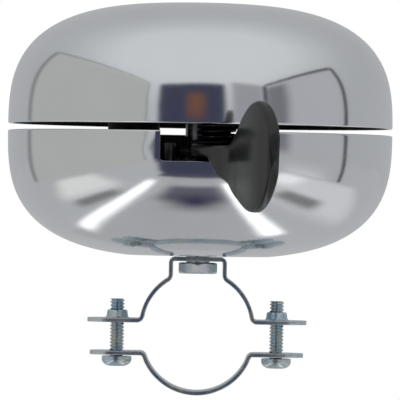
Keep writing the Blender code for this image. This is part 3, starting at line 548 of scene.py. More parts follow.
def make_zinc(base):
    """Zinc plate: blue passivation with straw patches, rolled grain and bright edges."""
    finish = Finish("blue_zinc_plate", base, 0.28, 1.0)
    tint = finish.group("uneven_surface", Size=260.0, Contrast=2.2)["Value"]
    lines = finish.group("hairline_scratches", Density=2400.0, Amount=0.7)
    grain = finish.group("fine_grain", Size=2200.0, Stretch=(1.0, 0.12, 1.0))["Height"]
    bright = finish.group("worn_edges", Width=0.10)["Mask"]
    blue = (base[0] * 0.86, base[1] * 0.98, min(base[2] * 1.08, 1.0))
    straw = (base[0] * 1.16, base[1] * 1.05, base[2] * 0.92)
    tone = finish.tones(tint, (0.30, blue), (0.52, base), (0.74, straw))
    tone = finish.mixed(bright, tone, (0.80, 0.82, 0.84))
    finish.link(tone, finish.shader.inputs["Base Color"])
    gloss = finish.combine("ADD", finish.spread(tint, 0.20, 0.36),
                           finish.combine("MULTIPLY", lines["Mask"], 0.15))
    finish.link(gloss, finish.shader.inputs["Roughness"])
    rolled = finish.bump(grain, 0.00002, 0.35)
    fine = finish.bump(lines["Height"], 0.000008, 0.5, rolled)
    finish.link(fine, finish.shader.inputs["Normal"])
    return finish.material


def make_steel(name, base, low, high, grain_size):
    """Plain or oiled steel: drawn grain, darker stains and polished edges."""
    finish = Finish(name, base, (low + high) / 2, 1.0)
    stain = finish.group("uneven_surface", Size=320.0, Contrast=1.8)["Value"]
    lines = finish.group("hairline_scratches", Density=2600.0, Amount=0.8)
    grain = finish.group("fine_grain", Size=grain_size, Stretch=(1.0, 1.0, 0.15))["Height"]
    bright = finish.group("worn_edges", Width=0.12)["Mask"]
    tone = finish.tones(stain, (0.30, shaded(base, 0.72)), (0.55, base), (0.8, shaded(base, 1.15)))
    tone = finish.mixed(bright, tone, shaded(base, 1.5))
    finish.link(tone, finish.shader.inputs["Base Color"])
    gloss = finish.combine("ADD", finish.spread(stain, low, high),
                           finish.combine("MULTIPLY", lines["Mask"], 0.12))
    finish.link(gloss, finish.shader.inputs["Roughness"])
    drawn = finish.bump(grain, 0.00002, 0.4)
    fine = finish.bump(lines["Height"], 0.000008, 0.5, drawn)
    finish.link(fine, finish.shader.inputs["Normal"])
    return finish.material


def make_plastic(name, base, low, high, rubbed):
    """Moulded plastic: fine spark-eroded grain, rubbed edges and handling haze."""
    finish = Finish(name, base, (low + high) / 2, 0.0)
    haze = finish.group("uneven_surface", Size=140.0, Contrast=1.6)["Value"]
    lines = finish.group("hairline_scratches", Density=1500.0, Amount=0.6)
    grain = finish.group("fine_grain", Size=4200.0, Stretch=(1.0, 1.0, 1.0))["Height"]
    wave = finish.group("uneven_surface", Size=200.0, Contrast=1.0)["Value"]
    bright = finish.group("worn_edges", Width=0.10)["Mask"]
    tone = finish.tones(haze, (0.25, shaded(base, 0.82)), (0.75, shaded(base, 1.2)))
    tone = finish.mixed(bright, tone, shaded(base, rubbed))
    finish.link(tone, finish.shader.inputs["Base Color"])
    gloss = finish.combine("ADD", finish.spread(haze, low, high),
                           finish.combine("MULTIPLY", lines["Mask"], 0.10))
    finish.link(gloss, finish.shader.inputs["Roughness"])
    finish.shader.inputs["IOR"].default_value = 1.5
    sunk = finish.bump(wave, 0.00005, 0.3)
    moulded = finish.bump(grain, 0.000012, 0.35, sunk)
    finish.link(moulded, finish.shader.inputs["Normal"])
    return finish.material


def make_floor(base):
    """Pale matt floor with a barely uneven tone."""
    finish = Finish("pale_floor", base, 0.6, 0.0)
    tone = finish.group("uneven_surface", Size=1.5, Contrast=0.6)["Value"]
    colours = finish.tones(tone, (0.2, shaded(base, 0.985)), (0.8, shaded(base, 1.015)))
    finish.link(colours, finish.shader.inputs["Base Color"])
    return finish.material


FINISHES = {}


class BELL_OT_finishes(bpy.types.Operator):
    """Make the finishes and put them on the frame's own nodes"""

    bl_idname = "bell.finishes"
    bl_label = "Finishes"

    def execute(self, context):
        colours = context.scene.bell_colours
        GROUPS["hairline_scratches"] = scratches_group()
        GROUPS["uneven_surface"] = mottle_group()
        GROUPS["fine_grain"] = grain_group()
        GROUPS["worn_edges"] = edge_group()
        FINISHES["chrome"] = make_chrome(tuple(colours.chrome))
        FINISHES["zinc"] = make_zinc(tuple(colours.zinc))
        FINISHES["steel"] = make_steel("plain_steel", tuple(colours.steel), 0.26, 0.44, 2600.0)
        FINISHES["spring_steel"] = make_steel("oiled_spring_steel", tuple(colours.spring_steel),
                                              0.20, 0.34, 3400.0)
        FINISHES["dull_plate"] = make_steel("dull_inside_plate", tuple(colours.inside_plate),
                                            0.42, 0.6, 1800.0)
        FINISHES["brass"] = make_steel("plain_brass", tuple(colours.brass), 0.24, 0.38, 2800.0)
        FINISHES["lever_plastic"] = make_plastic("lever_plastic", tuple(colours.lever_plastic),
                                                 0.15, 0.24, 1.5)
        FINISHES["gear_plastic"] = make_plastic("gear_plastic", tuple(colours.gear_plastic),
                                                0.34, 0.46, 2.0)
        FINISHES["floor"] = make_floor(tuple(colours.floor))
        for part in frame["record"]["subparts"]:
            obj = frame["nodes"][part["node"]]
            obj.data.materials.clear()
            obj.data.materials.append(FINISHES[part["material_slot"]])
        return {"FINISHED"}


# Domes

DOME_STEPS, OUTER_RINGS, INNER_RINGS = 192, 44, 30
RIM_RUN_IN = 0.3 * MM           # straight stretch between the rim's rounding and the curve
FLOOR_HOLE_RADIUS = 3.25 * MM
SLOT_BEVEL = 0.12 * MM


def dome_section(radius, height, power, start, end, count):
    """(radius, height) points of a dome's quarter, evenly spread round its corner."""
    def angle_at(level):
        share = min(level / height, 1.0)
        return atan2(share, (1 - share ** power) ** (1 / power))

    first, last = angle_at(start), angle_at(end)
    points = []
    for index in range(count + 1):
        angle = first + (last - first) * index / count
        scale = (abs(cos(angle)) ** power + abs(sin(angle)) ** power) ** (-1 / power)
        points.append((radius * cos(angle) * scale, height * sin(angle) * scale))
    return points


def rim(outer, inner, level, rounding):
    """Rounded rim between the outer and the inner radius, from outside in."""
    points = []
    for step in range(4):
        angle = pi / 2 * step / 3
        points.append((outer - rounding * (1 - cos(angle)), level + rounding * (1 - sin(angle))))
    for step in range(4):
        angle = pi / 2 * step / 3
        points.append((inner + rounding * (1 - sin(angle)), level + rounding * (1 - cos(angle))))
    return points


def line_inside(shell, middle, height, radius, power, wall):
    """Gives the faces of the inner wall the duller unpolished plate."""
    shell.data.materials.append(FINISHES["dull_plate"])
    only(shell)
    edit("FACE")
    limit = 1 - 0.55 * wall / height

    def within(face):
        center = face.calc_center_median()
        share = (hypot(center.x, center.y) / radius) ** power
        share += (abs(center.z - middle) / height) ** power
        return share ** (1 / power) < limit

    select_where(shell, within, "faces")
    shell.active_material_index = 1
    bpy.ops.object.material_slot_assign()
    done()


class BELL_OT_domes(bpy.types.Operator):
    """Turn both domes, draw in the sheet beside the lever's slot, and cut the slot"""

    bl_idname = "bell.domes"
    bl_label = "Domes"

    def execute(self, context):
        sizes = context.scene.bell_sizes
        middle = UPPER_LOW.z - sizes.upper_rim_rise
        height = UPPER_HIGH.z - middle
        self.upper(sizes, middle, height)
        self.lower(sizes, middle, height)
        return {"FINISHED"}

    def upper(self, sizes, middle, height):
        """Closed crown, rounded rim at the bottom."""
        radius, wall, power = sizes.dome_radius, sizes.dome_wall, sizes.dome_power
        level = sizes.upper_rim_rise
        near_rim = level + sizes.rim_rounding + RIM_RUN_IN
        outer = dome_section(radius, height, power, height, near_rim, OUTER_RINGS)
        inner = dome_section(radius - wall, height - wall, power, near_rim, height - wall,
                             INNER_RINGS)
        outer[0], inner[-1] = (0.0, height), (0.0, height - wall)
        edge = rim(outer[-1][0], inner[0][0], level, sizes.rim_rounding)
        section = [(across, middle + up) for across, up in outer + edge + inner]
        shell = turned("upper_dome_shell", section, DOME_STEPS)
        finish_piece(shell, FINISHES["chrome"], "housing", "chrome", "upper_dome", angle=50.0)
        line_inside(shell, middle, height, radius, power, wall)

    def lower(self, sizes, middle, height):
        """The same pressing turned over: flat floor with the post's hole, and the lever's slot."""
        radius, wall, power = sizes.dome_radius, sizes.dome_wall, sizes.dome_power
        level, floor = middle - LOWER_HIGH.z, middle - LOWER_LOW.z
        near_rim = level + sizes.rim_rounding + RIM_RUN_IN
        outer = dome_section(radius, height, power, near_rim, floor, OUTER_RINGS)
        inner = dome_section(radius - wall, height - wall, power, floor - wall, near_rim,
                             INNER_RINGS)
        edge = list(reversed(rim(outer[0][0], inner[-1][0], level, sizes.rim_rounding)))
        floor_rings = [(outer[-1][0] * share, floor) for share in (0.8, 0.6, 0.4)]
        hole = [(FLOOR_HOLE_RADIUS, floor), (FLOOR_HOLE_RADIUS, floor - wall)]
        section = outer + floor_rings + hole + inner + edge
        section = [(across, middle - down) for across, down in section]
        shell = turned("lower_dome_shell", section, DOME_STEPS, closed=True)
        self.draw_in(shell, sizes)
        self.cut_slot(shell, sizes)
        finish_piece(shell, FINISHES["chrome"], "housing", "chrome", "lower_dome", angle=50.0)
        line_inside(shell, middle, height, radius, power, wall)

    def draw_in(self, shell, sizes):
        """Presses the sheet in a little on both sides of the slot."""
        only(shell)
        edit()
        level = LOWER_HIGH.z - 3.7 * MM
        for side in (-1, 1):
            x = side * (sizes.slot_half_width + 0.2 * MM)
            y = -sqrt(sizes.dome_radius ** 2 - x ** 2)
            spot = Vector((x, y, level))
            select_where(shell, lambda vert: (vert.co - spot).length < 1.3 * MM)
            bpy.ops.transform.translate(
                value=(0.0, sizes.slot_dent, 0.0), use_proportional_edit=True,
                proportional_edit_falloff="SMOOTH", proportional_size=2.2 * MM)
        done()

    def cut_slot(self, shell, sizes):
        depth = 16.0 * MM
        size = (2 * sizes.slot_half_width, depth, 2 * sizes.slot_depth)
        cutter = block("slot_cutter", size, (0.0, LOWER_LOW.y, LOWER_HIGH.z), edge=0.7 * MM)
        boolean(shell, cutter, "DIFFERENCE")
        only(shell)
        edit("EDGE")

        def cut_edge(line):
            middle = (line.verts[0].co + line.verts[1].co) / 2
            beside = abs(middle.x) < sizes.slot_half_width + 0.05 * MM and middle.y < 0
            return (beside and middle.z > LOWER_HIGH.z - sizes.slot_depth - 0.05 * MM
                    and middle.z < LOWER_HIGH.z - 0.4 * MM
                    and len(line.link_faces) == 2 and line.calc_face_angle() > radians(50))

        select_where(shell, cut_edge, "edges")
        bpy.ops.mesh.bevel(offset=SLOT_BEVEL, segments=2, affect="EDGES", clamp_overlap=True)
        done()


# Thumb lever

def ease(value):
    value = min(max(value, 0.0), 1.0)
    return value * value * (3 - 2 * value)


def smooth_line(points, place):
    """Height of a smooth line through (place, height) points in millimetres."""
    place = place / MM
    for index in range(len(points) - 1):
        if place <= points[index + 1][0] or index == len(points) - 2:
            break
    before = points[max(index - 1, 0)]
    (x0, y0), (x1, y1) = points[index], points[index + 1]
    after = points[min(index + 2, len(points) - 1)]
    first = (y1 - before[1]) / (x1 - before[0])
    last = (after[1] - y0) / (after[0] - x0)
    share = min(max((place - x0) / (x1 - x0), 0.0), 1.0)
    width = x1 - x0
    square, cube = share ** 2, share ** 3
    height = ((2 * cube - 3 * square + 1) * y0 + (cube - 2 * square + share) * width * first
              + (3 * square - 2 * cube) * y1 + (cube - square) * width * last)
    return height * MM


INSIDE_END = -37.9 * MM        # the inside part stops here, within the neck
# Seen from above
NECK_START, NECK_BEND = Vector((-0.9, -37.6)) * MM, Vector((6.6, -46.5)) * MM
PAD_CENTER = Vector((11.2, -56.4)) * MM
PAD_TURN = radians(23.5)
# Seen from its side: the outline's heights, each as (place along the pad from its centre, height)
PAD_LEAN = radians(5.8)
PAD_MIDDLE = 35.25 * MM
UPPER_EDGE = ((-24.0, 37.5), (-15.0, 37.5), (-11.5, 37.7), (-9.6, 38.6), (-8.2, 40.4),
              (-6.2, 42.6), (-3.8, 44.6), (-1.5, 45.9), (1.0, 46.32), (2.0, 46.12))
LOWER_EDGE = ((-24.0, 35.8), (-20.0, 35.5), (-17.4, 34.9), (-16.2, 33.3), (-14.6, 31.4),
              (-12.4, 30.4), (-10.6, 29.6),
              (-8.6, 28.0), (-6.4, 26.6), (-3.8, 25.3), (-1.5, 24.45), (1.0, 24.18),
              (2.0, 24.4))


class BELL_OT_lever(bpy.types.Operator):
    """Model the thumb lever: hub, toothed sector and arm inside, neck and oval pad outside"""

    bl_idname = "bell.lever"
    bl_label = "Thumb lever"

    def execute(self, context):
        sizes = context.scene.bell_sizes
        paddle = carried("thumb_lever_shell", "Z", self.stations(sizes), sizes.pad_thickness,
                         0.75 * MM)
        inside = self.inside_part()
        join_pieces(paddle, inside)
        finish_piece(paddle, FINISHES["lever_plastic"], "lever", "lever_plastic", "thumb_lever",
                     angle=40.0)
        return {"FINISHED"}

    def stations(self, sizes):
        """Neck from inside the slot, bending into the pad's long plane and widening to its oval."""
        start, bend, center = NECK_START, NECK_BEND, PAD_CENTER
        pad_way = Vector((sin(PAD_TURN), -cos(PAD_TURN)))
        half_width, half_height = sizes.pad_width / 2, sizes.pad_height / 2
        straight = start + (bend - start) * 0.80
        pad_start = center - pad_way * (half_width - 2.4 * MM)
        far = center + pad_way * half_width
        path = [start.lerp(straight, index / 16) for index in range(17)]
        for index in range(1, 21):
            share = index / 20
            path.append(straight * (1 - share) ** 2 + bend * 2 * share * (1 - share)
                        + pad_start * share ** 2)
        rest = (far - pad_start).length
        path += [pad_start + pad_way * rest * sin(pi / 2 * index / 44) for index in range(1, 45)]
        stations = []
        for index, point in enumerate(path):
            way = path[min(index + 1, len(path) - 1)] - path[max(index - 1, 0)]
            along = (point - center).dot(pad_way)
            if along > 1.0 * MM:
                oval = half_height * sqrt(max(1 - (along / half_width) ** 2, 0.0))
                oval = max(oval, 0.9 * MM)
                low, high = PAD_MIDDLE - oval, PAD_MIDDLE + oval
            else:
                low, high = smooth_line(LOWER_EDGE, along), smooth_line(UPPER_EDGE, along)
            edge = max((along - (half_width - 0.8 * MM)) / (0.8 * MM), 0.0)
            scale = sqrt(max(1 - edge ** 2, 0.08))
            lean = tan(PAD_LEAN) * ease((along + 13.0 * MM) / (5.0 * MM))
            stations.append((point.x, point.y, atan2(way.y, way.x), low, high, scale, lean))
        return stations

    def inside_part(self):
        """The hub, toothed sector and arm: a copy of the frame's solid, cut off in the slot."""
        begin()
        obj = frame["nodes"]["thumb_lever"].copy()
        obj.data = obj.data.copy()
        obj.name = "lever_inside"
        bpy.context.scene.collection.objects.link(obj)
        obj.parent = None
        for key in list(obj.keys()):
            del obj[key]
        only(obj)
        edit()
        close_up()
        bpy.ops.mesh.select_all(action="SELECT")
        bpy.ops.mesh.bisect(plane_co=(0.0, INSIDE_END, 0.0), plane_no=(0.0, -1.0, 0.0),
                            use_fill=True, clear_outer=True)
        done()
        return obj


# Return spring

LEVER_PIVOT = Vector((3.4, -22.0)) * MM
COIL_TURNS, COIL_STEPS = 3, 40


class BELL_OT_spring(bpy.types.Operator):
    """Wind the lever's return spring with its two legs"""

    bl_idname = "bell.spring"
    bl_label = "Return spring"

    def execute(self, context):
        sizes = context.scene.bell_sizes
        low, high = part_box("lever_return_spring")
        pivot = LEVER_PIVOT
        wire, radius = sizes.wire_radius, sizes.coil_radius
        pitch = (high.z - low.z - 2 * wire) / COIL_TURNS
        bottom = low.z + wire
        begin()
        bpy.ops.mesh.primitive_circle_add(vertices=14, radius=wire, fill_type="NGON",
                                          location=(0.0, 0.0, 0.0), rotation=(0.0, pi / 2, 0.0))
        obj = named("lever_spring_wire")
        bpy.ops.object.transform_apply(location=False, rotation=True, scale=False)
        edit()
        leg = (high.x - low.x) / 2
        bpy.ops.transform.translate(value=(pivot.x - leg, pivot.y - radius, bottom))
        bpy.ops.mesh.extrude_region_move(TRANSFORM_OT_translate={"value": (leg, 0.0, 0.0)})
        steps = COIL_STEPS
        for index in range(1, COIL_TURNS * steps + 1):
            before, after = -pi / 2 + tau * (index - 1) / steps, -pi / 2 + tau * index / steps
            move = (radius * (cos(after) - cos(before)), radius * (sin(after) - sin(before)),
                    pitch / steps)
            bpy.ops.mesh.extrude_region_move(TRANSFORM_OT_translate={"value": move})
            place = (pivot.x + radius * cos(after), pivot.y + radius * sin(after),
                     bottom + pitch * index / steps)
            bpy.ops.transform.rotate(value=-tau / steps, orient_axis="Z",
                                     center_override=place)
        bpy.ops.mesh.extrude_region_move(TRANSFORM_OT_translate={"value": (leg, 0.0, 0.0)})
        bpy.ops.mesh.select_all(action="SELECT")
        bpy.ops.mesh.normals_make_consistent(inside=False)
        done()
        finish_piece(obj, FINISHES["spring_steel"], None, "spring_steel", "lever_return_spring")
        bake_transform(obj)
        return {"FINISHED"}


# Clamp

SCREW_X = 16.6 * MM             # the screws' axes, on both sides of the middle
EAR_CORNER = 4.1 * MM
COLLAR_TOP = 3.43 * MM
SADDLE_RADIUS = 11.18 * MM
UPPER_EAR_Z, LOWER_SADDLE_Z = 1.3 * MM, -2.0 * MM
LAND_HALF_WIDTH = 5.6 * MM


def bend_path(corners, radii, steps=10):
    """Path of (x, z, direction) through the corners, each inner one rounded by its radius."""
    points = [Vector(corners[0])]
    for index in range(1, len(corners) - 1):
        corner = Vector(corners[index])
        back = (Vector(corners[index - 1]) - corner).normalized()
        ahead = (Vector(corners[index + 1]) - corner).normalized()
        half = back.angle(ahead) / 2
        radius = radii[index - 1]
        if not radius:
            points.append(corner)
            continue
        center = corner + (back + ahead).normalized() * radius / sin(half)
        first = corner + back * radius * cos(half) / sin(half) - center
        last = corner + ahead * radius * cos(half) / sin(half) - center
        turn = first.angle_signed(last)
        for step in range(steps + 1):
            points.append(center + Matrix.Rotation(-turn * step / steps, 2) @ first)
    points.append(Vector(corners[-1]))
    return points


def strap_stations(half_path, thickness, width, corner):
    """Stations of a strip from its left ear tip to its right one, both tips rounded in plan."""
    tip = -half_path[0].x
    tips = [corner * (1 - cos(pi / 2 * step / 8)) for step in range(9)]
    left = [Vector((tip + depth, half_path[0].y)) for depth in tips]
    left += [Vector((-point.x, point.y)) for point in half_path[1:]]
    path = left + [Vector((-point.x, point.y)) for point in reversed(left) if point.x < -1e-6]
    stations = []
    for index, point in enumerate(path):
        ahead, behind = path[min(index + 1, len(path) - 1)], path[max(index - 1, 0)]
        way = ahead - behind
        depth = min(point.x - tip, -tip - point.x)
        inset = corner - sqrt(corner ** 2 - (corner - depth) ** 2) if depth < corner else 0.0
        half = width / 2 - inset
        stations.append((point.x, point.y, atan2(way.y, way.x), -half, half, 1.0))
    return stations


def mirrored_solid(obj, x):
    """A copy with its own mesh, moved across by twice x."""
    only(obj)
    bpy.ops.object.duplicate()
    twin = bpy.context.object
    edit()
    bpy.ops.transform.translate(value=(2 * x, 0.0, 0.0))
    done()
    return twin


def saddle_points(radius, center_z, first, last, count):
    return [(radius * cos(radians(angle)), center_z + radius * sin(radians(angle)))
            for angle in (first + (last - first) * index / count for index in range(count + 1))]


class BELL_OT_straps(bpy.types.Operator):
    """Bend the clamp's two strips, draw the screw collars and punch the holes"""

    bl_idname = "bell.straps"
    bl_label = "Clamp straps"

    def execute(self, context):
        sizes = context.scene.bell_sizes
        half = sizes.strap_thickness / 2
        radius = SADDLE_RADIUS + half
        ear_z, land_z, land_x = UPPER_EAR_Z, STRAP_HIGH.z - half, LAND_HALF_WIDTH
        corners = [(STRAP_HIGH.x, ear_z), (sqrt(radius ** 2 - ear_z ** 2), ear_z)]
        middle = saddle_points(radius, 0.0, 13.5, 55.5, 12)
        corners += middle + [(land_x, sqrt(radius ** 2 - land_x ** 2)), (land_x, land_z),
                             (0.0, land_z)]
        path = bend_path(corners, [1.1 * MM] + [0.0] * len(middle) + [1.4 * MM, 0.8 * MM])
        upper = carried("clamp_upper_strip", "Y", strap_stations(
            path, sizes.strap_thickness, sizes.strap_width, EAR_CORNER),
            sizes.strap_thickness, 0.16 * MM)
        self.punch(upper, 2.05 * MM, ear_z)
        self.add_collars(upper, ear_z - half, ear_z + half)
        hole = round_bar("post_hole", 2.75 * MM, 10.0 * MM, 20.0 * MM, (0.0, 0.0))
        boolean(upper, hole, "DIFFERENCE")
        finish_piece(upper, FINISHES["zinc"], "housing", "zinc", "clamp_upper_strap")

        ear_z = SADDLE_HIGH.z - half
        drop = LOWER_SADDLE_Z - ear_z
        corners = [(SADDLE_HIGH.x, ear_z), (sqrt(radius ** 2 - drop ** 2), ear_z)]
        middle = saddle_points(radius, LOWER_SADDLE_Z, -26.0, -90.0, 20)
        path = bend_path(corners + middle, [1.0 * MM] + [0.0] * (len(middle) - 1))
        lower = carried("clamp_lower_strip", "Y", strap_stations(
            path, sizes.strap_thickness, sizes.strap_width, EAR_CORNER),
            sizes.strap_thickness, 0.16 * MM)
        self.punch(lower, 1.8 * MM, ear_z)
        finish_piece(lower, FINISHES["zinc"], "lower_clamp", "zinc", "clamp_lower_strap")
        return {"FINISHED"}

    def add_collars(self, strip, underside, face):
        """Drawn collars with their bores, set in the upper strip's ears."""
        bore, low, top = 1.7 * MM, underside + 0.04 * MM, COLLAR_TOP
        section = [(bore, top), (1.75 * MM, top), (1.98 * MM, top - 0.08 * MM),
                   (2.1 * MM, top - 0.3 * MM), (2.22 * MM, face + 0.5 * MM),
                   (2.34 * MM, face + 0.2 * MM), (2.6 * MM, face + 0.02 * MM),
                   (2.6 * MM, low), (bore, low)]
        collar = turned("screw_collar", section, 48, (-SCREW_X, 0.0), closed=True)
        twin = mirrored_solid(collar, SCREW_X)
        boolean(strip, collar, "UNION")
        boolean(strip, twin, "UNION")
        only(strip)
        edit()
        close_up(1e-7)
        bpy.ops.mesh.select_all(action="SELECT")
        bpy.ops.mesh.fill_holes(sides=4)
        done()

    def punch(self, strip, radius, level):
        for side in (-1, 1):
            hole = round_bar("screw_hole", radius, level - 5.0 * MM, level + 5.0 * MM,
                             (side * SCREW_X, 0.0))
            boolean(strip, hole, "DIFFERENCE")


class BELL_OT_screws(bpy.types.Operator):
    """Cut one clamp screw with its thread, domed head and cross recess, and copy it"""

    bl_idname = "bell.screws"
    bl_label = "Clamp screws"

    def execute(self, context):
        pitch = context.scene.bell_sizes.thread_pitch
        head_top = SCREW_LOW.z + 2.1 * MM
        tip = SCREW_HIGH.z
        screw = self.thread("clamp_screw_left_body", pitch, head_top, tip)
        head = self.head(head_top)
        join_pieces(screw, head)
        twin = mirrored_solid(screw, SCREW_X)
        twin.name = twin.data.name = "clamp_screw_right_body"
        finish_piece(screw, FINISHES["zinc"], "screw_left", "zinc", "clamp_screw_left",
                     angle=32.0)
        finish_piece(twin, FINISHES["zinc"], "screw_right", "zinc", "clamp_screw_right",
                     angle=32.0)
        return {"FINISHED"}

    def thread(self, name, pitch, low, tip):
        """One pitch of the thread's flank wound up the shank, cut flat at both ends."""
        root, crest = 1.18 * MM, 1.5 * MM
        begin()
        bpy.ops.mesh.primitive_plane_add(size=0.01, location=(0.0, 0.0, 0.0))
        obj = named(name)
        edit()
        bpy.ops.mesh.merge(type="CENTER")
        start = low - 2 * pitch
        bpy.ops.transform.translate(value=(root, 0.0, start))
        for move_r, move_z in ((0.0, 0.10), (crest - root, 0.36), (0.0, 0.12), (root - crest, 0.42)):
            bpy.ops.mesh.extrude_region_move(
                TRANSFORM_OT_translate={"value": (move_r, 0.0, move_z * pitch)})
        done()
        winding = obj.modifiers.new("Thread", "SCREW")
        winding.steps = winding.render_steps = 36
        winding.angle = tau
        winding.screw_offset = pitch
        winding.iterations = int(ceil((tip - start) / pitch)) + 3
        winding.use_merge_vertices = True
        winding.merge_threshold = 1e-6
        apply_modifiers(obj)
        edit()
        close_up(1e-6)
        bpy.ops.mesh.bisect(plane_co=(0.0, 0.0, tip), plane_no=(0.0, 0.0, 1.0),
                            use_fill=True, clear_outer=True, threshold=1e-7)
        bpy.ops.mesh.select_all(action="SELECT")
        bpy.ops.mesh.bisect(plane_co=(0.0, 0.0, low - 0.4 * MM), plane_no=(0.0, 0.0, -1.0),
                            use_fill=True, clear_outer=True, threshold=1e-7)
        bpy.ops.mesh.select_all(action="SELECT")
        bpy.ops.transform.translate(value=(-SCREW_X, 0.0, 0.0))
        bpy.ops.mesh.select_all(action="SELECT")
        bpy.ops.mesh.normals_make_consistent(inside=False)
        if bmesh.from_edit_mesh(obj.data).calc_volume(signed=True) < 0:
            bpy.ops.mesh.flip_normals()
        done()
        return obj

    def head(self, top):
        """Pan head with a cross recess; its side falls away in a quarter of an ellipse."""
        low = SCREW_LOW.z
        radius, reach, rise = 3.1 * MM, 1.9 * MM, 1.45 * MM
        section = [(0.0, top), (radius - 0.15 * MM, top), (radius, top - 0.14 * MM)]
        for step in range(13):
            angle = pi / 2 * step / 12
            section.append((radius - reach * (1 - cos(angle)), low + rise * (1 - sin(angle))))
        section.append((0.0, low))
        head = turned("screw_head", section, 64, (-SCREW_X, 0.0))
        for turn in (pi / 4, 3 * pi / 4):
            blade = block("recess_blade", (3.2 * MM, 0.66 * MM, 2.0 * MM),
                          (-SCREW_X, 0.0, low), turn)
            boolean(head, blade, "DIFFERENCE")
        return head


class BELL_OT_nut(bpy.types.Operator):
    """Model the post's hexagon nut with its chamfers and bore"""

    bl_idname = "bell.nut"
    bl_label = "Post nut"

    def execute(self, context):
        corner = -NUT_LOW.y
        begin()
        bpy.ops.mesh.primitive_cylinder_add(vertices=6, radius=corner,
                                            depth=NUT_HIGH.z - NUT_LOW.z,
                                            location=(0.0, 0.0, 0.0))
        nut = named("post_hex_nut")
        edit()
        bpy.ops.transform.translate(value=(0.0, 0.0, (NUT_LOW.z + NUT_HIGH.z) / 2))
        done()
        flats = corner * cos(pi / 6)
        section = [(0.0, NUT_LOW.z - 0.01 * MM), (flats * 0.93, NUT_LOW.z - 0.01 * MM),
                   (corner * 1.02, NUT_LOW.z + 0.62 * MM), (corner * 1.02, NUT_HIGH.z - 0.62 * MM),
                   (flats * 0.93, NUT_HIGH.z + 0.01 * MM), (0.0, NUT_HIGH.z + 0.01 * MM)]
        boolean(nut, turned("nut_chamfer", section, 64), "INTERSECT")
        bore = round_bar("nut_bore", 2.5 * MM, NUT_LOW.z - 1.0 * MM, NUT_HIGH.z + 1.0 * MM,
                         (0.0, 0.0))
        boolean(nut, bore, "DIFFERENCE")
        finish_piece(nut, FINISHES["zinc"], "housing", "zinc", "post_nut", angle=25.0)
        return {"FINISHED"}


# Stage

FLOOR_Z, FLOOR_WIDTH = -0.36, 6.0
DOME_MIDDLE = 0.041
KIT_DISTANCE, WALL_DISTANCE = 1.02, 1.2
CARD_LEVEL = FLOOR_Z + 0.01
FLOOR_DEPTH = DOME_MIDDLE - FLOOR_Z
FIELD_WIDTH = 83.3 * MM         # width of the picture at the bell
CAMERA_DISTANCE = 1.1


def soft_border_group():
    """Fades a card out towards its four sides: a mask from its UV map."""
    group, enter, leave = new_group(
        "soft_border",
        {"Across": ("NodeSocketFloat", 0.1), "Along": ("NodeSocketFloat", 0.1)},
        {"Mask": "NodeSocketFloat"})
    link = group.links.new
    chart = add_node(group, "ShaderNodeUVMap")
    split = add_node(group, "ShaderNodeSeparateXYZ")
    link(chart.outputs[0], split.inputs[0])
    masks = []
    for side, width in (("X", "Across"), ("Y", "Along")):
        mirrored = math_node(group, "SUBTRACT", 1.0, split.outputs[side])
        near = math_node(group, "MINIMUM", split.outputs[side], mirrored)
        fade = add_node(group, "ShaderNodeMapRange", interpolation_type="SMOOTHSTEP")
        link(near, fade.inputs["Value"])
        link(enter.outputs[width], fade.inputs["From Max"])
        masks.append(fade.outputs[0])
    link(math_node(group, "MULTIPLY", masks[0], masks[1]), leave.inputs["Mask"])
    return group


def glow(name, tone, strength=1.0, across=0.06, along=0.06):
    """Material of a studio card: an even tone that fades out at the card's sides."""
    material = bpy.data.materials.new(name)
    material.use_nodes = True
    tree = material.node_tree
    tree.nodes.remove(tree.nodes["Principled BSDF"])
    light = tree.nodes.new("ShaderNodeEmission")
    light.inputs["Color"].default_value = (*tone, 1.0)
    light.inputs["Strength"].default_value = strength
    clear = tree.nodes.new("ShaderNodeBsdfTransparent")
    border = tree.nodes.new("ShaderNodeGroup")
    border.node_tree = GROUPS["soft_border"]
    border.inputs["Across"].default_value = across
    border.inputs["Along"].default_value = along
    choose = tree.nodes.new("ShaderNodeMixShader")
    tree.links.new(border.outputs["Mask"], choose.inputs["Fac"])
    tree.links.new(clear.outputs[0], choose.inputs[1])
    tree.links.new(light.outputs[0], choose.inputs[2])
    tree.links.new(choose.outputs[0], tree.nodes["Material Output"].inputs["Surface"])
    return material


def card(name, corners, material):
    """A studio card through its four corners, seen only in the reflections."""
    begin()
    bpy.ops.mesh.primitive_plane_add(size=1.0, location=(0.0, 0.0, 0.0))
    obj = named(name)
    order = [Vector(corner) for corner in (corners[0], corners[1], corners[3], corners[2])]
    for vert, corner in zip(obj.data.vertices, order):
        vert.co = corner
    obj.data.materials.append(material)
    obj.visible_camera = False
    obj.visible_diffuse = False
    obj.visible_shadow = False
    return obj


def front_card(name, inward, across, upward, material):
    """A card behind the camera; its ranges are shares of its distance."""
    x0, x1 = (KIT_DISTANCE * share for share in across)
    z0, z1 = (DOME_MIDDLE + KIT_DISTANCE * share for share in upward)
    y = inward - KIT_DISTANCE
    return card(name, ((x0, y, z0), (x1, y, z0), (x1, y, z1), (x0, y, z1)), material)


def wall_card(name, side, inward, along, upward, material):
    """A card at the left (-1) or the right (1); its ranges are shares of the wall's distance."""
    y0, y1 = (WALL_DISTANCE * share for share in along)
    z0, z1 = (DOME_MIDDLE + WALL_DISTANCE * share for share in upward)
    x = side * (WALL_DISTANCE - inward)
    return card(name, ((x, y0, z0), (x, y1, z0), (x, y1, z1), (x, y0, z1)), material)


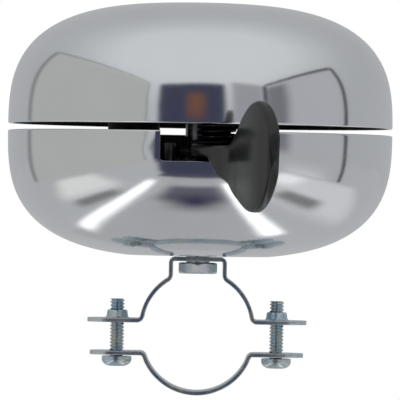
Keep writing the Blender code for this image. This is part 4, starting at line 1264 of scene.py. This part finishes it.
def floor_card(name, rise, near, far, along, material):
    """A card over the floor; the x of its near and far sides and its y are shares of the depth."""
    y0, y1 = (FLOOR_DEPTH * share for share in along)
    (a, b), (c, d) = ((FLOOR_DEPTH * share for share in pair) for pair in (near, far))
    z = CARD_LEVEL + rise
    return card(name, ((a, y0, z), (b, y0, z), (d, y1, z), (c, y1, z)), material)


class BELL_OT_stage(bpy.types.Operator):
    """Set the pale floor, the studio's cards and light, and the camera"""

    bl_idname = "bell.stage"
    bl_label = "Stage"

    def execute(self, context):
        self.floor()
        self.light(context)
        self.cards()
        self.camera(context)
        return {"FINISHED"}

    def floor(self):
        begin()
        bpy.ops.mesh.primitive_plane_add(size=FLOOR_WIDTH, location=(0.0, 0.0, 0.0))
        floor = named("studio_floor")
        edit()
        bpy.ops.transform.translate(value=(0.0, 0.0, FLOOR_Z))
        bpy.ops.mesh.subdivide(number_cuts=4)
        done()
        floor.data.materials.append(FINISHES["floor"])

    def light(self, context):
        """Soft tent, brightest above the front; seen straight it is plain white."""
        world = bpy.data.worlds.new("soft_tent")
        context.scene.world = world
        world.use_nodes = True
        tree = world.node_tree
        soft = tree.nodes["Background"]
        coordinates = tree.nodes.new("ShaderNodeTexCoord")
        facing = tree.nodes.new("ShaderNodeVectorMath")
        facing.operation = "DOT_PRODUCT"
        facing.inputs[1].default_value = (0.0, -0.5, 0.866)
        ramp = tree.nodes.new("ShaderNodeValToRGB")
        stops = ((0.0, 0.46), (0.30, 0.49), (0.55, 0.57), (0.76, 0.68), (1.0, 0.70))
        elements = ramp.color_ramp.elements
        while len(elements) < len(stops):
            elements.new(0.5)
        for element, (position, tone) in zip(elements, stops):
            element.position = position
            element.color = (tone * 0.985, tone, tone * 1.02, 1.0)
        tree.links.new(coordinates.outputs["Generated"], facing.inputs[0])
        tree.links.new(facing.outputs["Value"], ramp.inputs["Fac"])
        tree.links.new(ramp.outputs["Color"], soft.inputs["Color"])
        white = tree.nodes.new("ShaderNodeBackground")
        white.inputs["Color"].default_value = (1.0, 1.0, 1.0, 1.0)
        rays = tree.nodes.new("ShaderNodeLightPath")
        choose = tree.nodes.new("ShaderNodeMixShader")
        tree.links.new(rays.outputs["Is Camera Ray"], choose.inputs["Fac"])
        tree.links.new(soft.outputs[0], choose.inputs[1])
        tree.links.new(white.outputs[0], choose.inputs[2])
        tree.links.new(choose.outputs[0], tree.nodes["World Output"].inputs["Surface"])
        context.scene.view_settings.view_transform = "Standard"

    def cards(self):
        GROUPS["soft_border"] = soft_border_group()
        self.kit_cards()
        self.wall_cards()
        self.floor_cards()

    def kit_cards(self):
        """Dark kit round the camera with a warm middle and a dimmer side."""
        dark = glow("dark_kit", (0.050, 0.054, 0.090), across=0.10, along=0.08)
        brown = glow("brown_kit", (0.17, 0.080, 0.055), across=0.4, along=0.35)
        dim = glow("kit_side", (0.35, 0.35, 0.37), across=0.2, along=0.15)
        front_card("camera_kit", 0.0, (-0.50, 0.30), (-0.62, 0.46), dark)
        front_card("camera_kit_centre", 0.01, (-0.20, 0.10), (-0.02, 0.31), brown)
        front_card("kit_side", 0.02, (0.28, 0.78), (-0.10, 0.50), dim)

    def wall_cards(self):
        """Pale panel with grey seams at the left, window with a dark frame at the right."""
        seam = glow("grey_seam", (0.24, 0.25, 0.24), across=0.02, along=0.4)
        thin = glow("grey_upright_seam", (0.24, 0.25, 0.24), across=0.45, along=0.02)
        frame_edge = glow("dark_frame", (0.05, 0.05, 0.07), across=0.03, along=0.3)
        upright_edge = glow("dark_upright_frame", (0.05, 0.05, 0.07), across=0.3, along=0.03)
        left_panel = glow("left_panel", (0.47, 0.475, 0.455), across=0.05, along=0.04)
        right_panel = glow("right_panel", (0.46, 0.46, 0.48), across=0.03, along=0.03)
        right_gleam = glow("right_gleam", (1.0, 1.0, 1.0), 0.85, across=0.4, along=0.45)
        right_dim = glow("right_dim", (0.20, 0.20, 0.215), across=0.35, along=0.15)
        for name, side, inward, along, upward, material in (
                ("left_panel", -1, 0.0, (-1.62, 0.64), (-1.0, 0.75), left_panel),
                ("left_seam_top", -1, 0.01, (-1.60, 0.66), (0.72, 0.77), seam),
                ("left_seam_far", -1, 0.01, (0.52, 0.72), (-0.80, 0.76), thin),
                ("left_seam_near", -1, 0.01, (-1.66, -1.54), (-0.80, 0.75), thin),
                ("right_panel", 1, 0.0, (-1.22, 0.11), (-0.95, 0.585), right_panel),
                ("right_dim", 1, 0.004, (-1.30, -0.62), (-0.15, 0.56), right_dim),
                ("right_gleam", 1, 0.005, (-0.95, 0.02), (-1.05, -0.12), right_gleam),
                ("right_frame_top", 1, 0.01, (-1.25, 0.14), (0.55, 0.625), frame_edge),
                ("right_frame_far", 1, 0.01, (0.06, 0.135), (-1.0, 0.61), upright_edge),
                ("right_frame_near", 1, 0.01, (-1.32, -1.155), (-0.30, 0.60), upright_edge)):
            wall_card(name, side, inward, along, upward, material)

    def floor_cards(self):
        # The mid grey card round the spot under the bell is painted shade of the floor there; it shows
        # only in the chrome.
        pale = glow("pale_board", (0.43, 0.435, 0.44), across=0.05, along=0.03)
        left_low = glow("left_low", (0.78, 0.78, 0.76), across=0.3, along=0.3)
        right_low = glow("right_low", (0.66, 0.66, 0.67), across=0.2, along=0.3)
        bright = glow("left_strip", (1.0, 1.0, 1.0), 1.5, across=0.45, along=0.16)
        narrow = glow("right_strip", (1.0, 1.0, 1.0), 1.5, across=0.4, along=0.10)
        edge = glow("floor_edge", (0.22, 0.22, 0.22), across=0.4, along=0.3)
        gleam = glow("right_gleam_floor", (0.95, 0.95, 0.96), across=0.4, along=0.4)
        kit_floor = glow("kit_floor", (0.06, 0.063, 0.10), across=0.08, along=0.12)
        # The dim card and the dark card in front of the bell are a painted reflection of the camera kit
        # in the floor, a dim surround and a dark middle; they show only in the chrome.
        kit_reflection_rim = glow("front_apron", (0.12, 0.12, 0.15), across=0.25, along=0.3)
        kit_reflection_core = glow("front_floor_kit", (0.04, 0.04, 0.075), across=0.5, along=0.5)
        for name, rise, across, along, material in (
                # painted shade of the floor under the bell
                ("under_board", -0.003, (-0.60, 0.33), (-2.10, 1.70), pale),
                ("left_low", -0.002, (-2.90, -1.05), (-1.40, 0.80), left_low),
                ("right_low", -0.002, (0.60, 2.90), (-1.40, 1.60), right_low),
                ("left_floor_edge", 0.002, (-1.30, -0.86), (-0.90, 0.45), edge),
                ("right_floor_edge", 0.002, (0.78, 1.45), (-0.95, 0.35), edge),
                ("right_gleam_floor", 0.001, (1.10, 2.90), (-2.30, -0.55), gleam),
                ("kit_floor", 0.003, (-1.05, 0.68), (-2.75, -1.95), kit_floor),
                # painted reflection of the camera kit in the floor: dim surround, then dark middle
                ("front_apron", 0.003, (-0.58, 0.42), (-1.52, -0.50), kit_reflection_rim),
                ("front_floor_kit", 0.005, (-0.44, 0.36), (-1.14, -0.22), kit_reflection_core)):
            floor_card(name, rise, across, across, along, material)
        floor_card("left_floor_glow", 0.0, (-1.16, -0.78), (-0.66, -0.38), (-1.85, 1.15), bright)
        floor_card("right_floor_glow", 0.0, (0.36, 0.62), (0.22, 0.44), (-1.70, 0.75), narrow)

    def camera(self, context):
        bpy.ops.object.camera_add(location=(0.2 * MM, -CAMERA_DISTANCE, 26.5 * MM),
                                  rotation=(radians(90.0), radians(-1.0), 0.0))
        camera = bpy.context.object
        camera.name = "studio_camera"
        camera.data.sensor_width = 36.0
        camera.data.lens = 36.0 * CAMERA_DISTANCE / FIELD_WIDTH
        camera.data.clip_start = 0.05
        camera.data.clip_end = 20.0
        context.scene.camera = camera


class BELL_PT_panel(bpy.types.Panel):
    """Lists the bell's sizes, colours and steps"""

    bl_idname = "BELL_PT_panel"
    bl_label = "Bicycle bell"
    bl_space_type = "VIEW_3D"
    bl_region_type = "UI"
    bl_category = "Bell"

    def draw(self, context):
        layout = self.layout
        for group in (context.scene.bell_sizes, context.scene.bell_colours):
            box = layout.box()
            for name in group.__annotations__:
                box.prop(group, name)
        for operator in OPERATORS:
            layout.operator(operator.bl_idname)


OPERATORS = (BELL_OT_finishes, BELL_OT_domes, BELL_OT_lever, BELL_OT_spring, BELL_OT_straps,
             BELL_OT_screws, BELL_OT_nut, BELL_OT_stage)
CLASSES = (BellSizes, BellColours) + OPERATORS + (BELL_PT_panel,)


def register():
    for item in CLASSES:
        bpy.utils.register_class(item)
    bpy.types.Scene.bell_sizes = bpy.props.PointerProperty(type=BellSizes)
    bpy.types.Scene.bell_colours = bpy.props.PointerProperty(type=BellColours)


def unregister():
    del bpy.types.Scene.bell_colours
    del bpy.types.Scene.bell_sizes
    for item in reversed(CLASSES):
        bpy.utils.unregister_class(item)


def main():
    register()
    bpy.ops.bell.finishes()
    bpy.ops.bell.domes()
    bpy.ops.bell.lever()
    bpy.ops.bell.spring()
    bpy.ops.bell.straps()
    bpy.ops.bell.screws()
    bpy.ops.bell.nut()
    bpy.ops.bell.stage()


if __name__ == "__main__":
    main()
